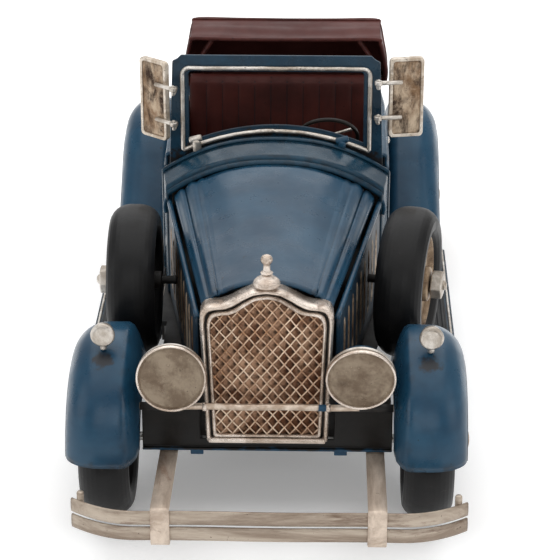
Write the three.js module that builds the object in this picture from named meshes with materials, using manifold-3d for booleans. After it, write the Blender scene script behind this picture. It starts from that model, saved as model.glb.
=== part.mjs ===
// Friction-drive tin roadster: a three.js model in millimetres, +Z up.
// The nose points towards -Y and +X is the car's own left side.
// The origin is on the ground, in the middle of the car.
import * as THREE from "three";
import { mergeVertices } from "three/addons/utils/BufferGeometryUtils.js";
import Module from "manifold-3d";

const wasm = await Module();
wasm.setup();

// ---------------------------------------------------------------- driving dimensions
const GAP = 0.3; // between pieces that touch
const RUNNING = 0.1; // radial clearance of a shaft in its hole
const TIN = 1.0; // thickness of the pressed sheet

const DATUM = 7; // height above the ground of the plane all heights below start from
const FRONT_AXLE_Y = -108;
const REAR_AXLE_Y = 110.5;
const TRACK_HALF = 54.8; // from the centre plane to a tyre's middle
const TYRE_RADIUS = 27.3;
const TYRE_WIDTH = 17;
const RIM_RADIUS = 17.5;
const HUB_RADIUS = 6.3;
const CAP_RADIUS = 4.2;
const CAP_REACH = 14.6; // hub cap's end, from the wheel's middle
const AXLE_RADIUS = 1.5;

const FLOOR_Z = 29.7; // underside of the floor pan
const FLOOR_HALF = 42.4;
const FLOOR_NOSE = -113;
const FLOOR_TAIL = 128;
const RIB_X = 22.5; // inner face of the ribs that carry the axles
const RIB_DROP = 6;

const FENDER_INNER = 42.8;
const FENDER_OUTER = 67.3;
const ARCH_RISE = 5.7; // the fenders' arcs are centred this far above the axles
const FRONT_ARCH_MARGIN = 5.7; // from the tyre's radius to the front fender's crest
const REAR_ARCH_MARGIN = 8.7;
const FRONT_ARCH_SETBACK = 3;
const APRON_DROP = 19; // from the front fender's crest to the apron's top corner
const BOARD_TOP = 20.5;
const BOARD_THICK = 3;
const BOARD_FRONT = -28.3;
const BOARD_REAR = 53;
const BOARD_OUTER = 68.6;
const REAR_FENDER_START = 60;
const TAIL_LAMP_SHARE = 0.84; // of the way from the rear fender's inner edge to its outer

const RADIATOR_FRONT = -121;
const RADIATOR_DEPTH = 7;
const RADIATOR_BOTTOM = 25;
const BONNET_FRONT = -113.7;
const BONNET_REAR = -15.3;
const COWL_FRONT = -15;
const COWL_REAR = 12.9;
const BELT_Z = 71; // top of the side panels
const CROWN_Z = 84; // top of the bonnet at the cowl
const BAND_RISE = 0.7; // of the cowl's two raised bands

const BRACKETS = [-30, 24]; // stubs on the cowl, at these places across the car
const SCREEN_Y = 13.6; // front face of the windscreen at its foot
const SCREEN_FOOT = 71.2;
const SCREEN_TOP = 116;
const SCREEN_HALF = { foot: 41.2, top: 39.6 };
const SCREEN_THICK = 1.2;
const SCREEN_RAKE = THREE.MathUtils.degToRad(4);
const STALK_HEIGHTS = [91, 105];
const STALK_RADIUS = 0.8;
const PIN_RADIUS = 0.55;
const PIVOT_X = 38.9; // the wind wings turn about upright pins here
const PIVOT_Y = 8.6;
const WING_FROM = 4.4; // plate's inner edge, from the pivot
const WING_TO = 17.6;
const WING_THICK = 2.4;
const WING_BOTTOM = 82.6;
const WING_TOP = 114.2;
const WING_SWEEP = { left: 10, right: 38 }; // degrees swept back
const WING_LIFT = { left: 3, right: 0 }; // the left plate is fitted higher

const TUB_FRONT = 16;
const TUB_TAIL = 131;
const COCKPIT_REAR = 78;
const BODY_HALF = 43;
const SEAT_HALF = 36;
const SEAT_DROP_Y = 72.5; // sheet behind the back rest
const SEAT_CLEAR = 3.3; // from that sheet's foot to the flywheel
const TOP_SHIFT = 2.4; // the folded top is fitted towards the left side
const TOP_FEET = [[39, 92], [-39, 92], [34.6, 107.5], [-34.6, 107.5]]; // each foot's X and Y
const FOOT_RADIUS = 1.3;
const FOOT_GAP = 0.7; // under a foot's middle, where the belt slopes
const COLUMN_X = 20; // the steering wheel's side
const WHEEL_CENTRE = new THREE.Vector3(COLUMN_X, 33, 77);
const COLUMN_RISE = THREE.MathUtils.degToRad(35);
const STEERING_RADIUS = 11.6;

const BUMPER_Y = 160.4; // middle of the bumper blades' thickness
const BLADE_HEIGHT = 5.2;
const BLADE_GAP = 0.7;
const BLADE_BOTTOM = 10.8;
const BLADE_HALF = 64.6;
const BLADE_STRAIGHT = 43;
const BLADE_SWEEP = 8;
const BUMPER_SHIFT = 1.6; // the front bumper is fitted towards the left side
const IRON_X = 35.2;
const IRON_WIDTH = 6.3;
const IRON_LOW = 19.4; // where an iron runs level beyond the floor pan
const IRON_STEP = 4; // how far forward it falls to there
const IRON_CLEAR = 0.5; // between that step and the nearer axle

const LAMP_X = 31.3;
const LAMP_Z = 54.4;
const LAMP_FRONT = -131;
const LAMP_RADIUS = 11.7;
const LAMP_TILT = { left: 7, right: -6 }; // degrees, nose down positive
const BAR_Y = -124.6;
const BAR_Z = 41;
const BAR_RADIUS = 1.15;

const SPARE_X = 49.3;
const SPARE_AIR = 9.43; // between the front tyre and the spare tyre
const SPARE_Z = 54.7;
const SPARE_TOE = { left: 12, right: 0 }; // degrees that each spare faces forward

const GEAR_MODULE = 0.7;
const WHEEL_TEETH = 30;
const PINION_TEETH = 10;
const GEAR_FACE = 3;
const WHEEL_ADDENDUM = 0.52;
const MOTOR_HALF = 11; // inner face of the motor's side plates
const SHAFT_RADIUS = 1;
const FLYWHEEL_RADIUS = 12.3;

const AXLE_Z = TYRE_RADIUS - DATUM;
const ARCH_Z = AXLE_Z + ARCH_RISE;
const FRONT_ARCH_Y = FRONT_AXLE_Y + FRONT_ARCH_SETBACK;
const FRONT_ARCH_RADIUS = TYRE_RADIUS + FRONT_ARCH_MARGIN;
const REAR_ARCH_RADIUS = TYRE_RADIUS + REAR_ARCH_MARGIN;
const FLOOR_TOP = FLOOR_Z + TIN;
const SPARE_REACH = 2 * TYRE_RADIUS + SPARE_AIR; // from the front wheel's middle to the spare's
const SPARE_Y = FRONT_AXLE_Y + Math.sqrt(SPARE_REACH ** 2 - (SPARE_Z - AXLE_Z) ** 2);

// ---------------------------------------------------------------- materials
const paint = (colour, roughness, metalness) =>
  new THREE.MeshStandardMaterial({ color: colour, roughness, metalness });
const BLUE = paint(0x1f4a68, 0.4, 0.1);
const SILVER = paint(0xb9aea0, 0.4, 0.8);
const BRONZE = paint(0x6b4f3a, 0.5, 0.7);
const BURGUNDY = paint(0x5c3a38, 0.5, 0.1);
const SEAT_RED = paint(0x2c1614, 0.6, 0);
const RUBBER = paint(0x232323, 0.8, 0);
const BLACK = paint(0x1c1917, 0.6, 0.1);
const STEEL = paint(0x8c8c8c, 0.35, 0.9);
const BRASS = paint(0xb08d57, 0.35, 0.9);

// ---------------------------------------------------------------- solids
function solidOf(geometry) {
  const bare = geometry.index ? geometry.toNonIndexed() : geometry.clone();
  bare.deleteAttribute("normal");
  bare.deleteAttribute("uv");
  const merged = mergeVertices(bare, 1e-4);
  return new wasm.Manifold(
    new wasm.Mesh({
      numProp: 3,
      vertProperties: merged.attributes.position.array,
      triVerts: new Uint32Array(merged.index.array),
    }),
  );
}

function geometryOf(solid) {
  const made = solid.getMesh();
  const geometry = new THREE.BufferGeometry();
  geometry.setAttribute("position", new THREE.BufferAttribute(made.vertProperties, 3));
  geometry.setIndex(new THREE.BufferAttribute(made.triVerts, 1));
  geometry.computeVertexNormals();
  return geometry;
}

// A closed surface from points and triangles, turned to face out.
function closedSurface(points, triangles) {
  let volume = 0;
  for (const [a, b, c] of triangles) {
    const cross = new THREE.Vector3().crossVectors(points[b], points[c]);
    volume += points[a].dot(cross);
  }
  const order = volume < 0 ? triangles.map(([a, b, c]) => [a, c, b]) : triangles;
  const geometry = new THREE.BufferGeometry().setFromPoints(points);
  geometry.setIndex(order.flat());
  return solidOf(geometry);
}

function box(x0, x1, y0, y1, z0, z1) {
  const geometry = new THREE.BoxGeometry(x1 - x0, y1 - y0, z1 - z0);
  return solidOf(geometry.translate((x0 + x1) / 2, (y0 + y1) / 2, (z0 + z1) / 2));
}

// A rod between two points.
function rod(from, to, radius, sides = 12) {
  const a = new THREE.Vector3(...from);
  const way = new THREE.Vector3(...to).sub(a);
  const geometry = new THREE.CylinderGeometry(radius, radius, way.length(), sides);
  const turn = new THREE.Quaternion().setFromUnitVectors(
    new THREE.Vector3(0, 1, 0),
    way.clone().normalize(),
  );
  geometry.applyQuaternion(turn);
  return solidOf(geometry.translate(a.x + way.x / 2, a.y + way.y / 2, a.z + way.z / 2));
}

function join(...solids) {
  return solids.reduce((sum, next) => sum.add(next));
}

function mirrored(solid) {
  return solid.mirror([1, 0, 0]);
}

// A profile of [radius, height] pairs turned about the Y axis.
function turned(profile, segments, start = 0) {
  const points = profile.map(([r, h]) => new THREE.Vector2(r, h));
  const open = profile[0][0] > 0;
  if (open) points.push(points[0].clone());
  return closedUp(new THREE.LatheGeometry(points, segments, start));
}

function closedUp(geometry) {
  const solid = solidOf(geometry);
  if (solid.volume() > 0) return solid;
  const flat = geometry.toNonIndexed();
  const position = flat.attributes.position;
  for (let i = 0; i < position.count; i += 3) {
    const b = new THREE.Vector3().fromBufferAttribute(position, i + 1);
    const c = new THREE.Vector3().fromBufferAttribute(position, i + 2);
    position.setXYZ(i + 1, c.x, c.y, c.z);
    position.setXYZ(i + 2, b.x, b.y, b.z);
  }
  return solidOf(flat);
}

// An outline of [u, v] pairs, with holes, pushed along the third axis.
function pushed(outline, from, to, axis, holes = []) {
  const shape = new THREE.Shape(outline.map(([u, v]) => new THREE.Vector2(u, v)));
  for (const hole of holes)
    shape.holes.push(new THREE.Path(hole.map(([u, v]) => new THREE.Vector2(u, v))));
  const geometry = new THREE.ExtrudeGeometry(shape, {
    depth: to - from,
    bevelEnabled: false,
    curveSegments: 12,
  });
  const place = new THREE.Matrix4();
  if (axis === "x") place.set(0, 0, 1, from, 1, 0, 0, 0, 0, 1, 0, 0, 0, 0, 0, 1);
  if (axis === "y") place.set(1, 0, 0, 0, 0, 0, -1, to, 0, 1, 0, 0, 0, 0, 0, 1);
  if (axis === "z") place.set(1, 0, 0, 0, 0, 1, 0, 0, 0, 0, 1, from, 0, 0, 0, 1);
  return solidOf(geometry.applyMatrix4(place));
}

function circle(u, v, radius, sides) {
  return Array.from({ length: sides }, (_, i) => {
    const angle = (2 * Math.PI * i) / sides;
    return [u + radius * Math.cos(angle), v + radius * Math.sin(angle)];
  });
}

// An outline's right half with its reflection in u = 0.
function bothHalves(half) {
  const back = half.filter(([u]) => u > 1e-6).reverse();
  return [...half, ...back.map(([u, v]) => [-u, v])];
}

// The closed outline of a strip of even thickness along a bent line.
function strip(line, thickness) {
  const offset = (side) =>
    line.map(([u, v], i) => {
      const [u0, v0] = line[Math.max(i - 1, 0)];
      const [u1, v1] = line[Math.min(i + 1, line.length - 1)];
      const before = new THREE.Vector2(u - u0, v - v0).normalize();
      const after = new THREE.Vector2(u1 - u, v1 - v).normalize();
      const way = before.add(after).normalize();
      const first = i === 0 || i === line.length - 1;
      const leg = new THREE.Vector2(u1 - u, v1 - v).normalize();
      const stretch = first ? 1 : Math.max(way.dot(leg), 0.5);
      const reach = (side * thickness) / 2 / stretch;
      return [u - way.y * reach, v + way.x * reach];
    });
  return [...offset(1), ...offset(-1).reverse()];
}

// A sheet of even thickness behind a grid of points, whose rows run one way round.
function sheet(grid, thickness, inward) {
  const rows = grid.length;
  const columns = grid[0].length;
  const outer = grid.flat();
  const inner = [];
  const at = (i, j) => grid[THREE.MathUtils.clamp(i, 0, rows - 1)][
    THREE.MathUtils.clamp(j, 0, columns - 1)
  ];
  for (let i = 0; i < rows; i++)
    for (let j = 0; j < columns; j++) {
      const along = at(i + 1, j).clone().sub(at(i - 1, j));
      const across = at(i, j + 1).clone().sub(at(i, j - 1));
      const normal = along.cross(across).normalize().multiplyScalar(inward);
      inner.push(grid[i][j].clone().addScaledVector(normal, thickness));
    }
  const points = [...outer, ...inner];
  const index = (i, j, side) => side * rows * columns + i * columns + j;
  const triangles = [];
  const quad = (a, b, c, d) => triangles.push([a, b, c], [a, c, d]);
  for (let i = 0; i < rows - 1; i++)
    for (let j = 0; j < columns - 1; j++) {
      quad(index(i, j, 0), index(i + 1, j, 0), index(i + 1, j + 1, 0), index(i, j + 1, 0));
      quad(index(i, j, 1), index(i, j + 1, 1), index(i + 1, j + 1, 1), index(i + 1, j, 1));
    }
  for (let i = 0; i < rows - 1; i++)
    for (const j of [0, columns - 1]) {
      const edge = [index(i, j, 0), index(i, j, 1), index(i + 1, j, 1), index(i + 1, j, 0)];
      quad(...(j === 0 ? edge : edge.reverse()));
    }
  for (let j = 0; j < columns - 1; j++)
    for (const i of [0, rows - 1]) {
      const edge = [index(i, j, 0), index(i, j + 1, 0), index(i, j + 1, 1), index(i, j, 1)];
      quad(...(i === 0 ? edge : edge.reverse()));
    }
  return closedSurface(points, triangles);
}

// A solid through rings of [x, z] pairs at the given Y places, nose end first.
function loft(rings, places) {
  const count = rings[0].length;
  const flat = rings.map((ring) => {
    const points = ring.map(([x, z]) => new THREE.Vector2(x, z));
    return THREE.ShapeUtils.isClockWise(points) ? points.reverse() : points;
  });
  const points = flat.flatMap((ring, i) => ring.map((p) => new THREE.Vector3(p.x, places[i], p.y)));
  const triangles = [];
  for (let i = 0; i < rings.length - 1; i++)
    for (let j = 0; j < count; j++) {
      const [a, b] = [i * count + j, i * count + ((j + 1) % count)];
      triangles.push([a, a + count, b], [b, a + count, b + count]);
    }
  const last = (rings.length - 1) * count;
  triangles.push(...THREE.ShapeUtils.triangulateShape(flat[0], []));
  for (const [a, b, c] of THREE.ShapeUtils.triangulateShape(flat.at(-1), []))
    triangles.push([last + a, last + c, last + b]);
  return closedSurface(points, triangles);
}

// ---------------------------------------------------------------- the car as a group
const car = new THREE.Group();
car.name = "tin_roadster";

function add(name, solid, material) {
  const mesh = new THREE.Mesh(geometryOf(solid.translate([0, 0, DATUM])), material);
  mesh.name = name;
  car.add(mesh);
}

function addPair(name, leftSolid, material) {
  add(`${name}_left`, leftSolid, material);
  add(`${name}_right`, mirrored(leftSolid), material);
}

// Half the body's width at a place along the car: the bonnet's taper runs into the doors.
function bodyHalf(y) {
  if (y < 0) return 42 + 0.163 * y - 0.4;
  const stations = [[0, 41.6], [13, 42.6], [30, BODY_HALF], [75, BODY_HALF], [100, 41], [120, 37], [131, 31]];
  for (let i = 1; i < stations.length; i++) {
    const [[y0, w0], [y1, w1]] = [stations[i - 1], stations[i]];
    if (y <= y1) return w0 + ((w1 - w0) * (y - y0)) / (y1 - y0);
  }
  return stations.at(-1)[1];
}

// ---------------------------------------------------------------- wheels
const TYRE_SIDES = 22;
const DISC_SIDES = 14;

// A tyre about the X axis, at the origin. Its flats stand TYRE_RADIUS from the axis.
function tyre() {
  const outer = TYRE_RADIUS / Math.cos(Math.PI / TYRE_SIDES);
  const half = TYRE_WIDTH / 2;
  const inner = RIM_RADIUS + GAP;
  const profile = [
    [inner, -half * 0.66],
    [inner + 3.2, -half],
    [outer - 3.3, -half * 0.8],
    [outer, -half * 0.4],
    [outer, half * 0.4],
    [outer - 3.3, half * 0.8],
    [inner + 3.2, half],
    [inner, half * 0.66],
  ];
  return turned(profile, TYRE_SIDES, Math.PI / TYRE_SIDES).rotate([0, 0, -90]);
}

// A road wheel's pressed disc with a blind hub and its cap, the cap towards +X.
function roadDisc() {
  const bore = AXLE_RADIUS + RUNNING;
  const profile = [
    [0, CAP_REACH],
    [CAP_RADIUS, CAP_REACH - 0.6],
    [CAP_RADIUS, CAP_REACH - 2.6],
    [2.6, CAP_REACH - 2.8],
    [2.6, 7],
    [HUB_RADIUS, 7],
    [HUB_RADIUS, 1.2],
    [RIM_RADIUS - 1.2, 1.2],
    [RIM_RADIUS, 5.2],
    [RIM_RADIUS, -5.2],
    [RIM_RADIUS - 1.2, -1.2],
    [CAP_RADIUS, -1.2],
    [CAP_RADIUS, -6],
    [bore, -6],
    [bore, CAP_REACH - 4.5],
    [0, CAP_REACH - 4.5],
  ];
  return turned(profile, DISC_SIDES).rotate([0, 0, -90]);
}

// A spare wheel's disc, bored for the bolt that carries it.
function spareDisc() {
  const bore = AXLE_RADIUS + RUNNING;
  const profile = [
    [bore, 7],
    [HUB_RADIUS, 7],
    [HUB_RADIUS, 1.2],
    [RIM_RADIUS - 1.2, 1.2],
    [RIM_RADIUS, 5.2],
    [RIM_RADIUS, -5.2],
    [RIM_RADIUS - 1.2, -1.2],
    [CAP_RADIUS, -1.2],
    [CAP_RADIUS, -6],
    [bore, -6],
  ];
  return turned(profile, DISC_SIDES).rotate([0, 0, -90]);
}

function addRoadWheels() {
  const places = { front: FRONT_AXLE_Y, rear: REAR_AXLE_Y };
  for (const [end, y] of Object.entries(places)) {
    const place = [TRACK_HALF, y, AXLE_Z];
    addPair(`${end}_tyre`, tyre().translate(place), RUBBER);
    addPair(`${end}_wheel_disc`, roadDisc().translate(place), SILVER);
  }
}

// The front axle is fixed in the floor pan's ribs, and both wheels turn on it.
function addFrontAxle() {
  const reach = TRACK_HALF + CAP_REACH - 4.5 - GAP;
  const ends = [-reach, reach].map((x) => [x, FRONT_AXLE_Y, AXLE_Z]);
  add("front_axle", rod(...ends, AXLE_RADIUS, 20), STEEL);
}

// Puts a solid made about the origin where one side's spare wheel is.
function atSpare(side, solid) {
  const placed = solid.rotate([0, 0, -SPARE_TOE[side]]).translate([SPARE_X, SPARE_Y, SPARE_Z]);
  return side === "left" ? placed : mirrored(placed);
}

// The space that one side's spare wheel takes out of the pressings round it.
function spareWell(side) {
  return atSpare(side, rod([-9.8, 0, 0], [9.8, 0, 0], TYRE_RADIUS + 1.2, 20));
}

// The bolt passes from the bonnet's side through the hub and ends in a flat hexagon nut.
function spareBolt() {
  const nut = pushed(circle(0, 0, 5.3, 6), 8.5, 12.7, "x");
  const bolt = rod([-17.5, 0, 0], [13.6, 0, 0], AXLE_RADIUS, 10);
  const collar = rod([-9.6, 0, 0], [-6 - GAP, 0, 0], 3.2, 10);
  return join(nut, bolt, collar);
}

function addSpares() {
  const inboard = bodyHalf(SPARE_Y) + 1.4;
  const bonnet = box(-inboard, inboard, -90, 0, 20, 90);
  for (const side of ["left", "right"]) {
    add(`spare_tyre_${side}`, atSpare(side, tyre()), RUBBER);
    add(`spare_wheel_disc_${side}`, atSpare(side, spareDisc()), SILVER);
    add(`spare_bolt_${side}`, atSpare(side, spareBolt()).subtract(bonnet), SILVER);
  }
}

// ---------------------------------------------------------------- fenders and boards
// The fender's crown: how far its sheet drops from the crest, at a share across its width.
function crownDrop(share) {
  const inner = Math.max(0, 0.22 - share) / 0.22;
  const outer = Math.max(0, share - 0.5) / 0.5;
  return 1.1 * inner ** 2 + 1.05 * (1 - Math.sqrt(1 - Math.min(outer, 0.985) ** 2));
}

function bezier(p0, p1, p2, p3, steps) {
  const curve = new THREE.CubicBezierCurve(
    ...[p0, p1, p2, p3].map(([y, z]) => new THREE.Vector2(y, z)),
  );
  return curve.getPoints(steps).map((p) => [p.x, p.y]);
}

function arc(centreY, centreZ, radius, fromDegrees, toDegrees, steps) {
  return Array.from({ length: steps + 1 }, (_, i) => {
    const turn = fromDegrees + ((toDegrees - fromDegrees) * i) / steps;
    const angle = THREE.MathUtils.degToRad(turn);
    return [centreY + radius * Math.cos(angle), centreZ + radius * Math.sin(angle)];
  });
}

// The front fender's crest, from its lower front edge over the wheel to the running board.
function frontCrest() {
  const over = arc(FRONT_ARCH_Y, ARCH_Z, FRONT_ARCH_RADIUS, 183, 48, 8);
  const [y, z] = over.at(-1);
  const end = [BOARD_FRONT - GAP, BOARD_TOP];
  const sweep = bezier([y, z], [y + 13.4, z - 12], [end[0] - 24, end[1]], end, 5);
  return [...over, ...sweep.slice(1)];
}

// The height of the front fender's crest at a place over the wheel.
function frontArchTop(y) {
  return ARCH_Z + Math.sqrt(FRONT_ARCH_RADIUS ** 2 - (y - FRONT_ARCH_Y) ** 2);
}

// The rear fender's crest, from the running board over the wheel to its tail.
function rearCrest() {
  const over = arc(REAR_AXLE_Y, ARCH_Z, REAR_ARCH_RADIUS, 140, -8, 9);
  const [y, z] = over[0];
  const start = [REAR_FENDER_START, BOARD_TOP];
  const rise = bezier(start, [start[0] + 4, start[1] + 8], [y - 6.4, z - 7.7], [y, z], 4);
  return [...rise.slice(0, -1), ...over];
}

// A fender's sheet: the crest line with its crown dropped square to the line.
function fender(crest, dropAlong) {
  const shares = [0, 0.02, 0.22, 0.5, 0.74, 0.9, 0.985, 1];
  const grid = crest.map(([y, z], i) => {
    const [y0, z0] = crest[Math.max(i - 1, 0)];
    const [y1, z1] = crest[Math.min(i + 1, crest.length - 1)];
    const way = new THREE.Vector2(y1 - y0, z1 - z0).normalize();
    const drop = dropAlong(i / (crest.length - 1));
    return shares.map((share, j) => {
      const skirt = j === 0 ? 0.55 : j === shares.length - 1 ? 0.12 : 0;
      const down = drop * (crownDrop(share) + skirt);
      const x = FENDER_INNER + (FENDER_OUTER - FENDER_INNER) * share;
      return new THREE.Vector3(x, y + way.y * down, z - way.x * down);
    });
  });
  return sheet(grid, TIN, 1);
}

function addFenders() {
  const front = fender(frontCrest(), (t) => 8 + 5 * Math.sin(Math.PI * Math.min(1, t * 1.3)));
  const rear = fender(rearCrest(), (t) => 6 + 8 * Math.sin(Math.PI * t));
  const ground = box(0, 100, -200, 200, -20, BOARD_TOP - BOARD_THICK);
  const shaped = front.subtract(ground);
  add("front_fender_left", shaped.subtract(spareWell("left")), BLUE);
  add("front_fender_right", mirrored(shaped).subtract(spareWell("right")), BLUE);
  addPair("rear_fender", rear.subtract(ground), BLUE);
}

function addRunningBoards() {
  const inner = FLOOR_HALF + GAP;
  const bottom = BOARD_TOP - BOARD_THICK;
  addPair(
    "running_board",
    box(inner, BOARD_OUTER, BOARD_FRONT, BOARD_REAR, bottom, BOARD_TOP),
    BLACK,
  );
}

// ---------------------------------------------------------------- floor pan and front apron
// A rib's side view: shallow, with an ear down to each axle.
function ribOutline() {
  const shallow = FLOOR_Z - RIB_DROP;
  const low = AXLE_Z - 3.6;
  const ear = (y) => [[y - 5, shallow], [y - 3.5, low], [y + 3.5, low], [y + 7, shallow]];
  const top = FLOOR_Z + TIN / 2;
  return [[FLOOR_NOSE, top], ...ear(FRONT_AXLE_Y), ...ear(REAR_AXLE_Y), [FLOOR_TAIL - 4, top]];
}

function addFloorPan() {
  const bay = MOTOR_HALF + TIN + 1;
  const outline = [
    [-25, FLOOR_NOSE],
    [25, FLOOR_NOSE],
    [FLOOR_HALF, FLOOR_NOSE + 10],
    [FLOOR_HALF, FLOOR_TAIL - 26],
    [33, FLOOR_TAIL],
    [-33, FLOOR_TAIL],
    [-FLOOR_HALF, FLOOR_TAIL - 26],
    [-FLOOR_HALF, FLOOR_NOSE + 10],
  ];
  const [bayFront, bayRear] = [FLY[0] - FLYWHEEL_RADIUS - 1.2, REAR_AXLE_Y + 12.5];
  const motorBay = [[-bay, bayFront], [bay, bayFront], [bay, bayRear], [-bay, bayRear]];
  let pan = pushed(outline, FLOOR_Z, FLOOR_TOP, "z", [motorBay]);
  const rib = ribOutline();
  for (const side of [-1, 1]) {
    const [a, b] = [side * RIB_X, side * (RIB_X + TIN + 0.2)].sort((p, q) => p - q);
    pan = pan.add(pushed(rib, a, b, "x"));
    const [c, d] = [side * (FLOOR_HALF - TIN), side * FLOOR_HALF].sort((p, q) => p - q);
    pan = pan.add(box(c, d, BOARD_FRONT, BOARD_REAR, BOARD_TOP - BOARD_THICK, FLOOR_TOP));
  }
  for (const y of [FRONT_AXLE_Y, REAR_AXLE_Y])
    pan = pan.subtract(rod([-30, y, AXLE_Z], [30, y, AXLE_Z], AXLE_RADIUS + RUNNING, 20));
  pan = pan.subtract(spareWell("left")).subtract(spareWell("right"));
  add("floor_pan", pan, BLACK);
}

function addFrontApron() {
  const half = FENDER_INNER - GAP;
  const back = -116.4;
  const [low, high] = [20.7, frontArchTop(back) - APRON_DROP];
  const notch = 22.8;
  const outline = bothHalves([
    [0, low],
    [half, low],
    [half, high],
    [notch, high],
    [notch, RADIATOR_BOTTOM - GAP],
    [0, RADIATOR_BOTTOM - GAP],
  ]);
  const panel = pushed(outline, back - TIN, back, "y");
  const lip = box(-half, half, back - TIN - 1.2, back, low, low + 0.9);
  const tabs = [-24, 25].map((x) => box(x - 2.2, x + 2.2, back - TIN, back, low - 2.2, low + 0.5));
  add("front_apron", join(panel, lip, ...tabs), BLACK);
}

// ---------------------------------------------------------------- radiator
// Half the radiator's outline, moved in by an inset, from the bottom to the arch.
function radiatorOutline(inset) {
  const half = [
    [0, RADIATOR_BOTTOM + inset * 0.85],
    [20.6 - inset, RADIATOR_BOTTOM + inset * 0.85],
    [22.3 - inset, 70 - inset * 0.4],
    [22.1 - inset * 1.1, 73.4 - inset * 0.7],
    [20.9 - inset * 1.1, 75.5 - inset * 0.9],
    [18.7 - inset * 1.1, 76.2 - inset],
    [15.5 - inset, 76.4 - inset],
    [12.4 - inset * 0.8, 77.5 - inset],
    [8.8 - inset * 0.6, 79.7 - inset],
    [4.9 - inset * 0.3, 81.6 - inset],
    [0, 82.3 - inset],
  ];
  return bothHalves(half);
}

function addRadiator() {
  const back = RADIATOR_FRONT + RADIATOR_DEPTH;
  const opening = radiatorOutline(2.8);
  const shell = pushed(radiatorOutline(0), RADIATOR_FRONT, back, "y", [opening]);
  add("radiator_shell", shell, SILVER);
  const meshFront = RADIATOR_FRONT + 2;
  add("grille_mesh", pushed(radiatorOutline(2.8 + GAP), meshFront, meshFront + 1, "y"), BRONZE);
}

function addMascot() {
  const middle = RADIATOR_FRONT + RADIATOR_DEPTH / 2;
  const seat = 82.3 + GAP;
  const cap = turned([[0, 4.2], [2.6, 3.6], [4.3, 1.8], [4.6, 0], [0, 0]], 16);
  add("radiator_cap", cap.rotate([90, 0, 0]).translate([0, middle, seat]), SILVER);
  const stem = [[0, 6.4], [1.2, 6.1], [1.7, 5.2], [1.7, 4.5], [1.2, 3.7], [1.2, 0], [0, 0]];
  const mascot = turned(stem, 10).rotate([90, 0, 0]);
  add("mascot", mascot.translate([0, middle, seat + 4.2 + GAP]), SILVER);
}

// ---------------------------------------------------------------- bonnet and cowl
// The bonnet's crown across the car, at a place along it.
function crownLine(y, edgeInset, steps) {
  const t = (y - BONNET_FRONT) / (COWL_REAR - BONNET_FRONT);
  const half = bodyHalf(y) - edgeInset;
  const edge = BELT_Z + 2.2 * (1 - t);
  const crown = THREE.MathUtils.lerp(81.4, CROWN_Z, Math.min(1, t * 1.25));
  return Array.from({ length: steps + 1 }, (_, i) => {
    const s = (2 * i) / steps - 1;
    const x = half * Math.sin((s * Math.PI) / 2);
    return [x, edge + (crown - edge) * (1 - Math.abs(x / half) ** 2.3)];
  });
}

function addBonnet() {
  const stations = [0, 0.25, 0.5, 0.75, 1];
  const grid = stations.map((t) => {
    const y = THREE.MathUtils.lerp(BONNET_FRONT, BONNET_REAR, t);
    const line = crownLine(y, 2.4, 12);
    const [x, z] = line.at(-1);
    const lipped = [[-x, z - 1.8], ...line, [x, z - 1.8]];
    return lipped.map(([px, pz]) => new THREE.Vector3(px, y, pz));
  });
  add("bonnet_top", sheet(grid, TIN, -1), BLUE);
  addPair("bonnet_side", bonnetSide(), BLUE);
}

// One side panel, with raised upright louvres and the rolled rod along its top.
function bonnetSide() {
  const [front, rear] = [BONNET_FRONT, BONNET_REAR];
  const [low, high] = [FLOOR_TOP + GAP, BELT_Z - 2.2];
  const outline = strip([[bodyHalf(front) - 0.5, front], [bodyHalf(rear) - 0.5, rear]], TIN);
  let panel = pushed(outline, low, high, "z");
  const count = 9;
  for (let i = 0; i < count; i++) {
    const y = THREE.MathUtils.lerp(front + 12, rear - 12, i / (count - 1));
    const x = bodyHalf(y) - 0.5;
    panel = panel.add(box(x, x + 1.1, y - 1.4, y + 1.4, low + 6, high - 5));
  }
  const rodAt = (y) => [bodyHalf(y) - 0.2, y, high];
  return panel.add(rod(rodAt(front), rodAt(rear), 0.9, 8));
}

// The cowl's skin stands proud in two bands, one at each end.
function addCowl() {
  const bands = [[COWL_FRONT, COWL_FRONT + 1.6], [COWL_REAR - 4.4, COWL_REAR - 2.8]];
  const ring = (y, inset) => {
    const low = inset > 0 ? FLOOR_TOP - 5 : FLOOR_TOP + GAP;
    const half = bodyHalf(y) - inset;
    const top = crownLine(y, inset, 12).map(([x, z]) => [x, z - inset]);
    const side = [[half, 52], [half, low]];
    return [...top, ...side, ...side.map(([x, z]) => [-x, z]).reverse()];
  };
  const stations = [
    [bands[0][0], -BAND_RISE],
    [bands[0][1], -BAND_RISE],
    [bands[0][1] + 0.6, 0],
    [0, 0],
    [bands[1][0] - 0.6, 0],
    [bands[1][0], -BAND_RISE],
    [bands[1][1], -BAND_RISE],
    [bands[1][1] + 0.6, 0],
    [COWL_REAR, 0],
  ];
  const skin = loft(stations.map(([y, inset]) => ring(y, inset)), stations.map(([y]) => y));
  const inside = [COWL_FRONT - 2, 0, COWL_REAR + 2];
  let cowl = skin.subtract(loft(inside.map((y) => ring(y, TIN + 0.2)), inside));
  for (const x of BRACKETS)
    cowl = cowl.add(rod([x, COWL_REAR - 2, 75], [x, COWL_REAR - 2, 82.6], 1.5, 8));
  add("cowl", cowl, BLUE);
}

// ---------------------------------------------------------------- windscreen and wind wings
// Leans a flat piece, drawn upright at the windscreen's front face, back to the rake.
function raked(solid) {
  const foot = [0, SCREEN_Y, SCREEN_FOOT];
  const degrees = -THREE.MathUtils.radToDeg(SCREEN_RAKE);
  return solid
    .translate(foot.map((v) => -v))
    .rotate([degrees, 0, 0])
    .translate(foot);
}

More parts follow.
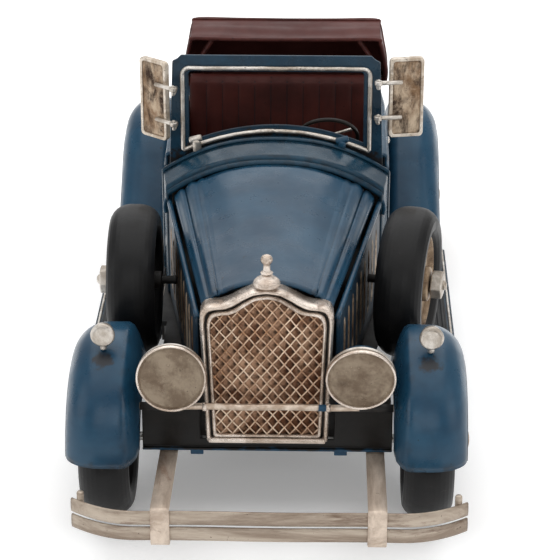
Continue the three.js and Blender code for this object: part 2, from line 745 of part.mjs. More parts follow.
// A window outline with an arched foot.
function windowOutline(half, cornerFoot, middleFoot, top, corner) {
  const foot = [0, 0.25, 0.5, 0.75, 1].map((s) => [
    s * half,
    cornerFoot + (middleFoot - cornerFoot) * (1 - s ** 2),
  ]);
  const round = arc(half - corner, top - corner, corner, 0, 90, 4);
  return bothHalves([...foot, ...round, [0, top]]);
}

function addWindscreen() {
  const front = SCREEN_Y;
  const frame = bothHalves([
    [0, SCREEN_FOOT],
    [SCREEN_HALF.foot, SCREEN_FOOT],
    [SCREEN_HALF.top, SCREEN_TOP - 2.4],
    [SCREEN_HALF.top - 2, SCREEN_TOP - 1.4],
    [SCREEN_HALF.top - 3.4, SCREEN_TOP],
    [0, SCREEN_TOP],
  ]);
  const opening = windowOutline(33.6, 81.4, 88.6, 109.8, 1.6);
  const plate = pushed(frame, front, front + SCREEN_THICK, "y", [opening]);
  const arms = [hingeArms(WING_LIFT.left), mirrored(hingeArms(WING_LIFT.right))];
  add("windscreen_frame", join(raked(plate), ...arms), BLUE);
  const outer = windowOutline(36.6, 77.8, 85.6, 112, 3.2);
  const inner = windowOutline(35, 79.4, 87.2, 110.4, 1.6);
  const bead = pushed(outer, front - GAP - 1.4, front - GAP, "y", [inner]);
  add("windscreen_bead", raked(bead), SILVER);
}

// Where the windscreen's middle stands at a height.
function screenPlace(z) {
  return SCREEN_Y + SCREEN_THICK / 2 + (z - SCREEN_FOOT) * Math.tan(SCREEN_RAKE);
}

// Two arms from the left post, each with an upright pin for an eye of the wind wing.
function hingeArms(lift) {
  return join(
    ...STALK_HEIGHTS.flatMap((height) => {
      const z = height + lift;
      const low = z - 0.9 - GAP - 0.8;
      const tip = [PIVOT_X, PIVOT_Y, low];
      const post = [PIVOT_X - 0.6, screenPlace(low), low];
      return [rod(post, tip, 0.8, 6), rod(tip, [PIVOT_X, PIVOT_Y, z + 1.4], PIN_RADIUS, 8)];
    }),
  );
}

// A plate on two stalks with eyes, drawn straight out from its pivot and then swept back.
function windWing(sweep, lift) {
  const [near, far] = [STALK_RADIUS - 0.3, STALK_RADIUS - 0.3 + WING_THICK];
  const corner = 1.6;
  const outline = [
    [WING_FROM, WING_BOTTOM + corner],
    [WING_FROM + corner, WING_BOTTOM],
    [WING_TO - corner, WING_BOTTOM],
    [WING_TO, WING_BOTTOM + corner],
    [WING_TO, WING_TOP - corner],
    [WING_TO - corner, WING_TOP],
    [WING_FROM + corner, WING_TOP],
    [WING_FROM, WING_TOP - corner],
  ];
  const bore = PIN_RADIUS + RUNNING;
  let wing = pushed(outline, near, far, "y");
  for (const z of STALK_HEIGHTS)
    wing = wing
      .add(rod([0, 0, z], [WING_FROM + 4.4, 0, z], STALK_RADIUS, 6))
      .add(rod([0, 0, z - 0.9], [0, 0, z + 0.9], 1.5, 10))
      .subtract(rod([0, 0, z - 2], [0, 0, z + 2], bore, 10));
  return wing.rotate([0, 0, sweep]).translate([PIVOT_X, PIVOT_Y, lift]);
}

function addWindWings() {
  add("wind_wing_left", windWing(WING_SWEEP.left, WING_LIFT.left), SILVER);
  add("wind_wing_right", mirrored(windWing(WING_SWEEP.right, WING_LIFT.right)), SILVER);
}

// ---------------------------------------------------------------- body tub and cockpit
// The body's section at a place behind the windscreen, moved in by an inset.
function bodyRing(y, inset) {
  const half = bodyHalf(y) - inset;
  const fall = THREE.MathUtils.clamp((y - 96) / (TUB_TAIL - 96), 0, 1);
  const belt = 75.6 - 20 * fall ** 1.6 - inset;
  const low = inset > 0 ? FLOOR_TOP - 5 : FLOOR_TOP + GAP;
  const crown = 2.4 - inset * 0.2;
  const right = [
    [half * 0.97, low],
    [half, low + 18],
    [half * 0.985, belt - 3],
    [half * 0.95, belt],
    [half * 0.6, belt + crown * 0.8],
  ];
  return [...right, [0, belt + crown], ...right.map(([x, z]) => [-x, z]).reverse()];
}

function addTub() {
  const places = [TUB_FRONT, 45, 75, 96, 108, 120, 127, TUB_TAIL];
  const skin = loft(places.map((y) => bodyRing(y, 0)), places);
  const inside = places.map((y) => Math.min(y, TUB_TAIL - TIN - 0.3));
  inside[0] -= 4;
  const hollow = loft(places.map((y, i) => bodyRing(inside[i], TIN + 0.2)), inside);
  const cockpit = pushed(
    [
      [-39, TUB_FRONT - 4],
      [39, TUB_FRONT - 4],
      [39.6, 30],
      [39.6, COCKPIT_REAR - 8],
      [34, COCKPIT_REAR],
      [-34, COCKPIT_REAR],
      [-39.6, COCKPIT_REAR - 8],
      [-39.6, 30],
    ],
    60,
    90,
    "z",
  );
  add("body_tub", skin.subtract(hollow).subtract(cockpit), BLUE);
}

function addCockpit() {
  const dashFront = TUB_FRONT + 1;
  const dash = bothHalves([[0, 54], [40.8, 54], [40.8, 68], [34, 71.5], [0, 74.5]]);
  const radius = 1.2;
  const up = new THREE.Vector3(0, Math.cos(COLUMN_RISE), Math.sin(COLUMN_RISE));
  const along = (distance) => WHEEL_CENTRE.clone().addScaledVector(up, distance).toArray();
  const run = (WHEEL_CENTRE.y - dashFront) / Math.cos(COLUMN_RISE) - radius * 2.5;
  const column = join(
    rod(along(-run), along(-1 - GAP), radius, 10),
    rod(along(-2), along(1), 0.8, 10),
    rod(along(-run), along(-run + 2.4), 3, 10),
  );
  add("dashboard", pushed(dash, dashFront, dashFront + TIN, "y"), BLACK);
  add("steering_column", column.subtract(box(-60, 60, 0, dashFront + TIN + GAP, 0, 120)), BLACK);

  const rim = solidOf(new THREE.TorusGeometry(STEERING_RADIUS, 0.8, 5, 20));
  const hub = rod([0, 0, -1], [0, 0, 1], 2.4, 12);
  const bore = rod([0, 0, -2], [0, 0, 2], 0.9, 12);
  const spokes = [0, 1, 2].map((i) => {
    const angle = Math.PI / 2 + (i * 2 * Math.PI) / 3;
    const tip = [Math.cos(angle) * STEERING_RADIUS, Math.sin(angle) * STEERING_RADIUS, 0];
    return rod([0, 0, 0], tip, 0.6, 6);
  });
  const tilt = 90 - THREE.MathUtils.radToDeg(COLUMN_RISE);
  const wheel = join(rim, hub, ...spokes).subtract(bore).rotate([-tilt, 0, 0]);
  add("steering_wheel", wheel.translate(WHEEL_CENTRE.toArray()), BLACK);
}

// One bench, bent from a single sheet: cushion, back rest and the drop behind it.
function addSeat() {
  const reach = (FLYWHEEL_RADIUS + SEAT_CLEAR) ** 2 - (FLY[0] - SEAT_DROP_Y) ** 2;
  const foot = FLY[1] + Math.sqrt(Math.max(reach, 0));
  const cushion = [[37.5, 36], [37.5, 51], [40, 53.6], [55.5, 52.4]];
  const back = [[63, 86], [66.5, 89.4], [SEAT_DROP_Y - 0.5, 87.5], [SEAT_DROP_Y, foot]];
  const line = [...cushion, ...back];
  add("front_seat", pushed(strip(line, TIN), -SEAT_HALF, SEAT_HALF, "x"), SEAT_RED);
}

// The height of the tub's belt, where the folded top's feet stand.
function beltTop(x, y) {
  const [, , , [edge, low], [inner, high]] = bodyRing(y, 0);
  return low + ((high - low) * (edge - Math.abs(x))) / (edge - inner);
}

// The folded top: a hollow sheet, open in front and below, with a diagonal stay at each side
// and four feet that stand on the tub.
function addFoldedTop() {
  const foot = 78.6;
  const frames = [
    { roof: 73, side: 90, top: 104, half: 38.7, footHalf: 41.2 },
    { roof: 84, side: 94, top: 105.4, half: 38.7, footHalf: 41.4 },
    { roof: 95, side: 98, top: 105.4, half: 38.5, footHalf: 41.2 },
    { roof: 104, side: 102, top: 101, half: 37.4, footHalf: 40.4 },
    { roof: 110.5, side: 106, top: 92, half: 35.6, footHalf: 38.8 },
    { roof: 115, side: 109, top: 82, half: 33, footHalf: 35.6 },
  ];
  const grid = frames.map((f) => {
    const tall = f.top - foot;
    const right = [
      [f.footHalf, foot, f.side],
      [f.footHalf + 0.4, foot + tall * 0.3, f.side + (f.roof - f.side) * 0.3],
      [f.half + 1.4, foot + tall * 0.68, f.side + (f.roof - f.side) * 0.68],
      [f.half, foot + tall * 0.92, f.side + (f.roof - f.side) * 0.95],
      [f.half - 2, f.top, f.roof],
      [f.half * 0.5, f.top - 0.2, f.roof],
    ];
    const left = right.map(([x, z, y]) => [-x, z, y]).reverse();
    return [...right, [0, f.top - 0.3, f.roof], ...left].map(([x, z, y]) => new THREE.Vector3(x, y, z));
  });
  let top = sheet(grid, TIN, -1);
  const stay = rod([29, 76, 104.2], [39.8, 92, 82], 1, 6);
  top = join(top, stay, mirrored(stay)).translate([TOP_SHIFT, 0, 0]);
  for (const [x, y] of TOP_FEET) {
    const lean = 1.4 * Math.sign(x) + 0.9 * TOP_SHIFT;
    top = top.add(rod([x, y, beltTop(x, y) + FOOT_GAP], [x + lean, y, foot + 2.4], FOOT_RADIUS, 8));
  }
  add("folded_top", top, BURGUNDY);
}

// ---------------------------------------------------------------- lamps
// A headlamp's bucket and lens at the origin, facing -Y.
function headlampCan() {
  const r = LAMP_RADIUS;
  const profile = [
    [0, 13.6],
    [3.6, 13],
    [7.2, 10.4],
    [9.8, 6.4],
    [r - 0.9, 2.4],
    [0, 2.4],
  ];
  const foot = rod([0, 6.4, -r - 2.4], [0, 6.4, -r + 4], 1.3, 8);
  return turned(profile, 18).add(foot);
}

function headlampLens() {
  const r = LAMP_RADIUS;
  const lens = [[0, 0.1], [r - 1.6, 0.5], [r - 0.6, 0], [r, 0.8], [r, 2.1], [0, 2.1]];
  return turned(lens, 20);
}

function addLamps() {
  const seat = BAR_Z + BAR_RADIUS + GAP;
  for (const [side, sign] of [["left", 1], ["right", -1]]) {
    const place = [sign * LAMP_X, LAMP_FRONT, LAMP_Z];
    const pose = (solid) => solid.rotate([LAMP_TILT[side], 0, 0]).translate(place);
    const can = pose(headlampCan()).subtract(box(-60, 60, BAR_Y - 4, BAR_Y + 4, 0, seat));
    add(`headlamp_can_${side}`, can, BLUE);
    add(`headlamp_lens_${side}`, pose(headlampLens()), SILVER);
  }
  const reach = FENDER_INNER - GAP;
  add("headlamp_bar", rod([-reach, BAR_Y, BAR_Z], [reach, BAR_Y, BAR_Z], BAR_RADIUS, 12), SILVER);
  addPair("marker_lamp", markerLamp(), SILVER);
  addPair("tail_lamp", tailLamp(), SILVER);
}

// A small round lamp on a stem that stands on the front fender's crown.
function markerLamp() {
  const [y, z] = [FRONT_ARCH_Y - 13, ARCH_Z + FRONT_ARCH_RADIUS + 4.6];
  const body = turned([[0, 6], [2.6, 4.8], [4, 1.4], [4.15, 0.6], [3.7, 0], [0, 0.2]], 12);
  const crest = frontArchTop(y + 2);
  const stem = rod([0, 2.4, crest + GAP + 0.9 - z], [0, 2.4, -2], 1.2, 8);
  return join(body, stem).translate([TRACK_HALF, y, z]);
}

// A round lamp standing off the rear fender's tail.
function tailLamp() {
  const x = FENDER_INNER + (FENDER_OUTER - FENDER_INNER) * TAIL_LAMP_SHARE;
  const angle = THREE.MathUtils.degToRad(20);
  const reach = REAR_ARCH_RADIUS + 0.4;
  const place = [x, REAR_AXLE_Y + reach * Math.cos(angle), ARCH_Z + reach * Math.sin(angle)];
  const body = turned([[0, 5.6], [3.6, 5.2], [4.2, 4], [3.6, 1.4], [1.3, 0], [1.3, -1.6], [0, -1.6]], 10);
  return body.translate(place);
}

// ---------------------------------------------------------------- bumpers
// A blade's line in plan: straight in the middle, swept towards the car at its ends.
function bladeLine() {
  const steps = 6;
  const right = Array.from({ length: steps + 1 }, (_, i) => {
    const share = i / steps;
    const x = BLADE_STRAIGHT + (BLADE_HALF - BLADE_STRAIGHT) * share;
    return [x, -BUMPER_Y + BLADE_SWEEP * share ** 2];
  });
  return [...right.map(([x, y]) => [-x, y]).reverse(), ...right];
}

function blade(bottom) {
  return pushed(strip(bladeLine(), TIN), bottom, bottom + BLADE_HEIGHT, "z");
}

// A bent strap from under the nose, over both blades and back beneath them.
function bumperIron() {
  const top = BLADE_BOTTOM + 2 * BLADE_HEIGHT + BLADE_GAP + GAP + TIN / 2;
  const front = -BUMPER_Y - TIN / 2 - GAP - TIN / 2;
  const low = BLADE_BOTTOM - GAP - TIN / 2;
  const seat = FLOOR_Z - GAP - TIN / 2;
  const fall = seat - IRON_LOW;
  const clear = (AXLE_RADIUS + TIN / 2 + IRON_CLEAR) * Math.hypot(IRON_STEP, fall);
  const axleY = Math.max(REAR_AXLE_Y, -FRONT_AXLE_Y);
  const stepY = axleY + (clear + IRON_STEP * (AXLE_Z - seat)) / fall;
  const line = [
    [-97, seat],
    [-stepY, seat],
    [-stepY - IRON_STEP, IRON_LOW],
    [-119.5, IRON_LOW],
    [-BUMPER_Y + 3, top],
    [front, top],
    [front, low],
    [-BUMPER_Y + 2.5, low],
  ];
  const half = IRON_WIDTH / 2;
  return pushed(strip(line, TIN), IRON_X - half, IRON_X + half, "x");
}

// The upper blade carries a short round tab behind each end.
function upperBlade(bottom) {
  const x = BLADE_HALF - 3.4;
  const y = bladeLine().at(-2)[1] + TIN + 0.4;
  const tab = rod([x, y, bottom + 2], [x, y, bottom + BLADE_HEIGHT + 2.6], 1.2, 8);
  return join(blade(bottom), tab, mirrored(tab));
}

function addBumpers() {
  const upper = BLADE_BOTTOM + BLADE_HEIGHT + BLADE_GAP;
  const shift = [BUMPER_SHIFT, 0, 0];
  const iron = bumperIron();
  add("bumper_blade_lower", blade(BLADE_BOTTOM).translate(shift), SILVER);
  add("bumper_blade_upper", upperBlade(upper).translate(shift), SILVER);
  add("bumper_iron_left", iron.translate(shift), SILVER);
  add("bumper_iron_right", mirrored(iron).translate(shift), SILVER);
  const ties = [-1, 1].map((side) => {
    const x = side * IRON_X;
    return box(x - 3, x + 3, -BUMPER_Y - 1, -BUMPER_Y + 0.4, BLADE_BOTTOM - 1, upper + BLADE_HEIGHT + 1);
  });
  const rear = join(blade(BLADE_BOTTOM), upperBlade(upper), iron, mirrored(iron), ...ties);
  const reach = box(-70, 70, 100, 170, 0, 60);
  add("rear_bumper", rear.mirror([0, 1, 0]).intersect(reach), SILVER);
}

// ---------------------------------------------------------------- friction motor
// A spur gear's outline: a straight flank from root to tip for each involute, and a
// little taken off the tooth's thickness for backlash.
function gearOutline(teeth, addendum, dedendum, backlash) {
  const pitch = (GEAR_MODULE * teeth) / 2;
  const pressure = THREE.MathUtils.degToRad(20);
  const base = pitch * Math.cos(pressure);
  const tip = pitch + addendum;
  const root = pitch - dedendum;
  const involute = (r) => {
    const a = Math.acos(Math.min(1, base / r));
    return Math.tan(a) - a;
  };
  const halfTooth = Math.PI / (2 * teeth) - backlash / (2 * pitch);
  const flank = [root, tip].map((r) => [r, halfTooth + involute(pitch) - involute(r)]);
  const outline = [];
  for (let k = 0; k < teeth; k++) {
    const middle = (2 * Math.PI * k) / teeth;
    const place = (r, angle) => [r * Math.cos(middle + angle), r * Math.sin(middle + angle)];
    outline.push(...flank.map(([r, angle]) => place(r, -angle)));
    outline.push(...[...flank].reverse().map(([r, angle]) => place(r, angle)));
  }
  return outline;
}

const GEAR_CENTRES = (GEAR_MODULE * (WHEEL_TEETH + PINION_TEETH)) / 2;
const WHEEL_TIP = (GEAR_MODULE * WHEEL_TEETH) / 2 + WHEEL_ADDENDUM;
const LAY = meshPlace([REAR_AXLE_Y, AXLE_Z], 158);
const FLY = meshPlace(LAY, 163);

// The shaft's place [y, z] in mesh with the one given, at an angle from +Y.
function meshPlace([y, z], degrees) {
  const angle = THREE.MathUtils.degToRad(degrees);
  return [y + GEAR_CENTRES * Math.cos(angle), z + GEAR_CENTRES * Math.sin(angle)];
}

// A gear from x0 on, at [y, z], with one tooth pointing along the given angle.
function gear(teeth, x0, [y, z], toothDegrees) {
  const wheel = teeth === WHEEL_TEETH;
  const outline = gearOutline(teeth, wheel ? WHEEL_ADDENDUM : 0.72, wheel ? 0.92 : 0.74, 0.16);
  return pushed(outline, x0, x0 + GEAR_FACE, "x")
    .rotate([toothDegrees, 0, 0])
    .translate([0, y, z]);
}

// The pinion's tooth angle that puts a gap opposite the wheel's tooth at an angle.
function opposite(degrees) {
  return degrees + 180 + 180 / PINION_TEETH;
}

function addMotor() {
  const halfX = TRACK_HALF + CAP_REACH - 4.5 - GAP;
  const axle = [REAR_AXLE_Y, AXLE_Z];
  const ends = [-halfX, halfX].map((x) => [x, ...axle]);
  add("rear_axle", rod(...ends, AXLE_RADIUS, 20), STEEL);
  const firstX = -9.4;
  const secondX = -4.6;
  const bore = rod([-20, ...axle], [20, ...axle], AXLE_RADIUS + 0.05, 20);
  const collar = rod([firstX + GEAR_FACE, ...axle], [firstX + GEAR_FACE + 4, ...axle], 3, 14);
  add("axle_gear", gear(WHEEL_TEETH, firstX, axle, 158).add(collar).subtract(bore), BRASS);

  const plates = MOTOR_HALF + TIN;
  const shaft = ([y, z]) => rod([-plates, y, z], [plates, y, z], SHAFT_RADIUS, 12);
  const layshaft = join(
    gear(PINION_TEETH, firstX - 0.2, LAY, opposite(158)).add(
      rod([firstX, ...LAY], [secondX + 1, ...LAY], 2.2, 12),
    ),
    gear(WHEEL_TEETH, secondX, LAY, 163),
    shaft(LAY),
  );
  add("layshaft", layshaft, BRASS);

  const rim = turned(
    [[0, 1.6], [FLYWHEEL_RADIUS - 3.4, 1.6], [FLYWHEEL_RADIUS - 2.8, 0], [FLYWHEEL_RADIUS, 0],
      [FLYWHEEL_RADIUS, 7], [FLYWHEEL_RADIUS - 2.8, 7], [FLYWHEEL_RADIUS - 3.4, 5.4], [0, 5.4]],
    24,
  ).rotate([0, 0, -90]);
  const flywheel = join(
    rim.translate([2.6, ...FLY]),
    gear(PINION_TEETH, secondX - 0.2, FLY, opposite(163)),
    rod([secondX + 1, ...FLY], [4, ...FLY], 2.2, 12),
    shaft(FLY),
  );
  add("flywheel", flywheel, STEEL);
  addMotorFrame(axle);
}

// Two side plates joined by three pillars, with feet on the floor pan.
function addMotorFrame(axle) {
  const [fy, fz] = FLY;
  const [ay, az] = axle;
  const outline = [
    [fy - 14.4, FLOOR_Z - 7],
    [fy - 12, fz - 12.4],
    [fy + 3, fz - 16.6],
    [ay + 6, az - 6.4],
    [ay + 8, az + WHEEL_TIP + 1],
    [ay - 3, az + WHEEL_TIP + 6],
    [fy - 6, fz + 12],
    [fy - 12.8, fz + 3],
    [fy - 12.8, FLOOR_Z - 2.5],
  ];
  const holes = [
    circle(...axle, AXLE_RADIUS + RUNNING, 16),
    circle(...LAY, SHAFT_RADIUS + RUNNING, 12),
    circle(...FLY, SHAFT_RADIUS + RUNNING, 12),
  ];
  const plates = [-MOTOR_HALF - TIN, MOTOR_HALF].map((x0) =>
    pushed(outline, x0, x0 + TIN, "x", holes),
  );
  const half = MOTOR_HALF + TIN / 2;
  const pillars = [[ay + 2, az + WHEEL_TIP + 2.2], [fy - 11.4, fz - 9.8], [fy + 3, fz - 14.6]].map(([y, z]) =>
    rod([-half, y, z], [half, y, z], 1.4, 8),
  );
  const foot = [FLOOR_TOP + GAP, FLOOR_TOP + GAP + TIN];
  const feet = [fy - 12, ay - 8].flatMap((y) => {
    const left = box(MOTOR_HALF + TIN / 2, MOTOR_HALF + 7, y, y + 8, ...foot);
    return [left, mirrored(left)];
  });
  add("motor_frame", join(...plates, ...pillars, ...feet), STEEL);
}

// ---------------------------------------------------------------- assembly
addRadiator();
addMascot();
addBonnet();
addCowl();
addWindscreen();
addWindWings();
addTub();
addCockpit();
addSeat();
addFoldedTop();
addFloorPan();
addFrontApron();
addFenders();
addRunningBoards();
addLamps();
addBumpers();
addFrontAxle();
addRoadWheels();
addSpares();
addMotor();

export default car;
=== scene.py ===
import math

import bmesh
import bpy
import numpy as np
from mathutils import Matrix, Vector


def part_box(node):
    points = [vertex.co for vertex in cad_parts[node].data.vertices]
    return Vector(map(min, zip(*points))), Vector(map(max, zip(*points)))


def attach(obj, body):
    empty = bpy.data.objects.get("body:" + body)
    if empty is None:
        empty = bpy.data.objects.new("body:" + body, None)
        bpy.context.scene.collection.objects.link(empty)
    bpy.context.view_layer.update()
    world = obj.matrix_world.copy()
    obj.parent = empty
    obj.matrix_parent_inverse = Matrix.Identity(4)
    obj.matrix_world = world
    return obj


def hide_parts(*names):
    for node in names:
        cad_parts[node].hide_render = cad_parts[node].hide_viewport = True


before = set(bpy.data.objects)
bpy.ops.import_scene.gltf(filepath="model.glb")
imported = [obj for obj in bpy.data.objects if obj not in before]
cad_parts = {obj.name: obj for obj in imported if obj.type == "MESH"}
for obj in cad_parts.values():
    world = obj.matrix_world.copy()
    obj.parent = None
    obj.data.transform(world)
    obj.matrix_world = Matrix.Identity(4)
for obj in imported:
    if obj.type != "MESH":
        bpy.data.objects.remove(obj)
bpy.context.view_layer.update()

# Lengths below are millimetres. Heights are from the plane the model's heights start at,
# DATUM above the ground, and outward() turns both into the frame's metres.
MM = 0.001
DATUM = 7.0
GAP = 0.3


def box(node):
    """A CAD node's lowest and highest corner, in millimetres from the datum plane."""
    low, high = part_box(node)
    lift = Vector((0, 0, DATUM))
    return low / MM - lift, high / MM - lift


# ------------------------------------------------------------------ sizes, from the frame where a node has them
TYRE_LOW, TYRE_HIGH = box("front_tyre_left")
TYRE_RADIUS = (TYRE_HIGH.y - TYRE_LOW.y) / 2 * math.cos(math.pi / 22)
FRONT_AXLE_Y = (TYRE_LOW.y + TYRE_HIGH.y) / 2
REAR_LOW, REAR_HIGH = box("rear_tyre_left")
REAR_AXLE_Y = (REAR_LOW.y + REAR_HIGH.y) / 2
TRACK_HALF = (TYRE_LOW.x + TYRE_HIGH.x) / 2
TYRE_HALF = (TYRE_HIGH.x - TYRE_LOW.x) / 2
AXLE_Z = TYRE_RADIUS - DATUM
ARCH_Z = AXLE_Z + 5.7
FRONT_ARCH_Y = FRONT_AXLE_Y + 3
FRONT_ARCH_RADIUS = TYRE_RADIUS + 5.7
REAR_ARCH_RADIUS = TYRE_RADIUS + 8.7
FENDER_INNER = box("rear_fender_left")[0].x
FENDER_OUTER = box("rear_fender_left")[1].x
BOARD_LOW, BOARD_HIGH = box("running_board_left")
BONNET_FRONT = -113.7
BONNET_REAR = box("bonnet_top")[1].y
COWL_FRONT, COWL_REAR = box("cowl")[0].y, box("cowl")[1].y
SILL_Z = 31.0  # the foot of the tub, the cowl and the bonnet's sides
SKIN = 0.9  # how thick most pressings are
BELT_Z = 71.0
CROWN_Z = 84.0
RADIATOR_FRONT = box("radiator_shell")[0].y
RADIATOR_BACK = box("radiator_shell")[1].y
RADIATOR_BOTTOM = box("radiator_shell")[0].z
SCREEN_Y = 13.6
SCREEN_FOOT = 71.2
SCREEN_TOP = 116.0
SCREEN_THICK = 1.2
SCREEN_RAKE = math.radians(4)
PIVOT_X, PIVOT_Y = 38.9, 8.6
STALK_HEIGHTS = (91.0, 105.0)
WING_SWEEP = {"left": 10, "right": 38}
WING_LIFT = {"left": 3.0, "right": 0.0}
SPARE_TOE = {1: math.radians(12), -1: 0.0}
SPARE_LOW, SPARE_HIGH = box("spare_tyre_left")
SPARE = Vector((SPARE_LOW + SPARE_HIGH) / 2)
BUMPER_Y = 160.4
BUMPER_SHIFT = 1.6
BLADE_BOTTOM, BLADE_HEIGHT, BLADE_GAP = 10.8, 5.2, 0.7
LAMP_X, LAMP_Z, LAMP_FRONT, LAMP_RADIUS = 31.3, 54.4, -131.0, 11.7
LAMP_TILT = {"left": 7, "right": -6}
BAR_Y, BAR_Z, BAR_RADIUS = -124.6, 41.0, 1.15
SIDES = (("left", 1), ("right", -1))


# ------------------------------------------------------------------ materials
def linear(red, green, blue):
    """A colour given as 0 to 255 display values, as the shader wants it."""
    shares = [c / 255 / 12.92 if c < 10 else ((c / 255 + 0.055) / 1.055) ** 2.4 for c in (red, green, blue)]
    return (*shares, 1.0)


class Paint:
    """A material under construction: each method adds nodes and gives back a socket."""

    def __init__(self, name):
        self.material = bpy.data.materials.new(name)
        self.material.use_nodes = True
        self.tree = self.material.node_tree
        self.shader = self.tree.nodes["Principled BSDF"]
        self.place = self.add("TexCoord", "Object")
        self.pointiness = self.add("NewGeometry", "Pointiness")

    def put(self, socket, value):
        if isinstance(value, bpy.types.NodeSocket):
            self.tree.links.new(value, socket)
        else:
            socket.default_value = value

    def add(self, kind, output, inputs=(), **settings):
        """One node with its settings, and a socket or a value on each input named."""
        node = self.tree.nodes.new("ShaderNode" + kind)
        for name, value in settings.items():
            setattr(node, name, value)
        for name, value in dict(inputs).items():
            self.put(node.inputs[name], value)
        return node.outputs[output]

    def noise(self, scale, detail=4.0, roughness=0.55, distortion=0.0, stretch=None):
        place = self.place
        if stretch:
            place = self.add("Mapping", "Vector", {"Vector": place, "Scale": stretch})
        return self.add("TexNoise", "Fac", {"Vector": place, "Scale": scale, "Detail": detail,
                                            "Roughness": roughness, "Distortion": distortion})

    def ramp(self, value, low, high, to=(0.0, 1.0)):
        ends = {"From Min": low, "From Max": high, "To Min": to[0], "To Max": to[1]}
        return self.add("MapRange", "Result", {"Value": value, **ends}, interpolation_type="SMOOTHSTEP")

    def math(self, kind, a, b=0.0, clamp=True):
        return self.add("Math", 0, {0: a, 1: b}, operation=kind, use_clamp=clamp)

    def times(self, a, b):
        return self.math("MULTIPLY", a, b)

    def ragged(self, value, noise, low, high, reach):
        """The value, pushed up and down by some noise."""
        return self.math("ADD", value, self.ramp(noise, low, high, (-reach, reach)), False)

    def axis(self, letter):
        return self.add("SeparateXYZ", letter, {0: self.place})

    def spot(self, centre, radius, soft=0.5):
        """1 near a point given in millimetres, on either side of the car, with a ragged edge."""
        x, y, z = centre
        folded = {0: self.math("ABSOLUTE", self.axis("X"), clamp=False), 1: self.axis("Y"), 2: self.axis("Z")}
        ends = {0: self.add("CombineXYZ", 0, folded), 1: (x * MM, y * MM, (z + DATUM) * MM)}
        away = self.add("VectorMath", "Value", ends, operation="DISTANCE")
        return self.ramp(self.ragged(away, self.noise(300, 4, 0.7), 0.2, 0.8, 0.002), radius * MM,
                         radius * MM * soft)

    def mix(self, share, a, b):
        return self.add("Mix", 2, {"Factor": share, 6: a, 7: b}, data_type="RGBA")

    def bump(self, height, distance, strength=1.0, under=None):
        inputs = {"Strength": strength, "Distance": distance, "Height": height}
        return self.add("Bump", "Normal", {**inputs, "Normal": under} if under else inputs)

    def finish(self, colour, roughness, metallic=0.0, normal=None, specular=0.5):
        looks = {"Base Color": colour, "Roughness": roughness, "Metallic": metallic, "Coat Roughness": 0.1,
                 "Specular IOR Level": specular}
        for name, value in looks.items():
            self.put(self.shader.inputs[name], value)
        if normal:
            self.tree.links.new(normal, self.shader.inputs["Normal"])
        return self.material


def enamel(name, colours, roughness=0.29, chips=0.5, stain_and_shade=None, gloss=0.32):
    """Sprayed paint on tin: cloudy, a little orange peel, darker and rubbed at its edges, with painted shade in
    its creases and, where asked, more painted shade laid on in dark brown.
    """
    p = Paint(name)
    deep, base, pale, chip = (linear(*colour) for colour in colours)
    cloud = p.ramp(p.noise(26, 5, 0.6, 0.4), 0.32, 0.7)
    streak = p.ramp(p.noise(60, 4, 0.6, stretch=(1, 0.4, 1.6)), 0.38, 0.72)
    worn = p.times(p.ramp(p.pointiness, 0.515, 0.56), p.ramp(p.noise(210, 5, 0.7), 0.42, 0.62))
    # Painted shade: the paint goes dark blue-grey in its creases and hollows.
    groove = p.ramp(p.pointiness, 0.49, 0.455)
    fleck = p.ramp(p.noise(420, 2, 0.5), 0.73, 0.76)
    colour = p.mix(cloud, deep, base)
    for share, strength, over in ((streak, 0.35, pale), (groove, 0.6, linear(14, 20, 24)),
                                  (worn, chips, chip), (fleck, 0.7, chip)):
        colour = p.mix(p.times(share, strength), colour, over)
    # Painted shade, laid on in dark brown where asked: the marker lamps' shadow on the front fenders, and the
    # shade under the windscreen's wire.
    if stain_and_shade:
        colour = p.mix(stain_and_shade(p), colour, linear(30, 24, 20))
    normal = p.bump(p.noise(38, 3, 0.5), 0.0012, 0.35, p.bump(p.noise(650, 2, 0.5), 0.00012, 0.25))
    rough = p.ramp(p.noise(90, 4, 0.6), 0.3, 0.75, (roughness - 0.05, roughness + 0.12))
    return p.finish(colour, rough, 0.0, normal, gloss)


def patina(name, colours, amount=0.5, roughness=0.36, metal=0.8, scale=1.0, brushed=None, swirl=0.8):
    """Silvered tin, dulled and stained brown where it was rubbed back by hand."""
    p = Paint(name)
    bright, dull, stain_and_shade = (linear(*colour) for colour in colours)
    tone = p.ramp(p.noise(70 * scale, 8, 0.72, swirl * 0.7, brushed), 0.38, 0.62)
    blotch = p.noise(120 * scale, 10, 0.74, swirl, brushed)
    patch = p.ramp(blotch, 0.66 - 0.22 * amount, 0.74 - 0.1 * amount)
    cavity = p.ramp(p.pointiness, 0.5, 0.45)
    share = p.math("MAXIMUM", p.times(patch, 0.35 + 0.6 * amount), p.times(cavity, 0.85))
    pit = p.ramp(p.noise(900, 2, 0.6), 0.7, 0.74)
    scratch = p.noise(300, 3, 0.6, 0.0, (0.25, 3, 3) if brushed else (1, 1, 2))
    scrape = p.ramp(p.noise(700, 3, 0.6, 0.0, (0.2, 2.5, 2.5) if brushed else (1, 1.6, 0.8)), 0.6, 0.72)
    colour = p.mix(share, p.mix(tone, dull, bright), stain_and_shade)
    colour = p.mix(p.times(pit, 0.65), colour, linear(46, 32, 24))
    colour = p.mix(p.times(scrape, 0.35), colour, bright)
    normal = p.bump(blotch, 0.0012, 0.45, p.bump(scratch, 0.0003, 0.4))
    rough = p.ramp(share, 0.0, 1.0, (roughness, 0.72))
    return p.finish(colour, rough, p.ramp(share, 0.0, 1.0, (metal, metal * 0.35)), normal, 0.3)


# Painted shadow: a dark brown patch on each front fender, right under its marker lamp.
def lamp_shadow(p):
    return p.times(p.spot((54.8, -120.5, 56.6), 4.6), 0.85)


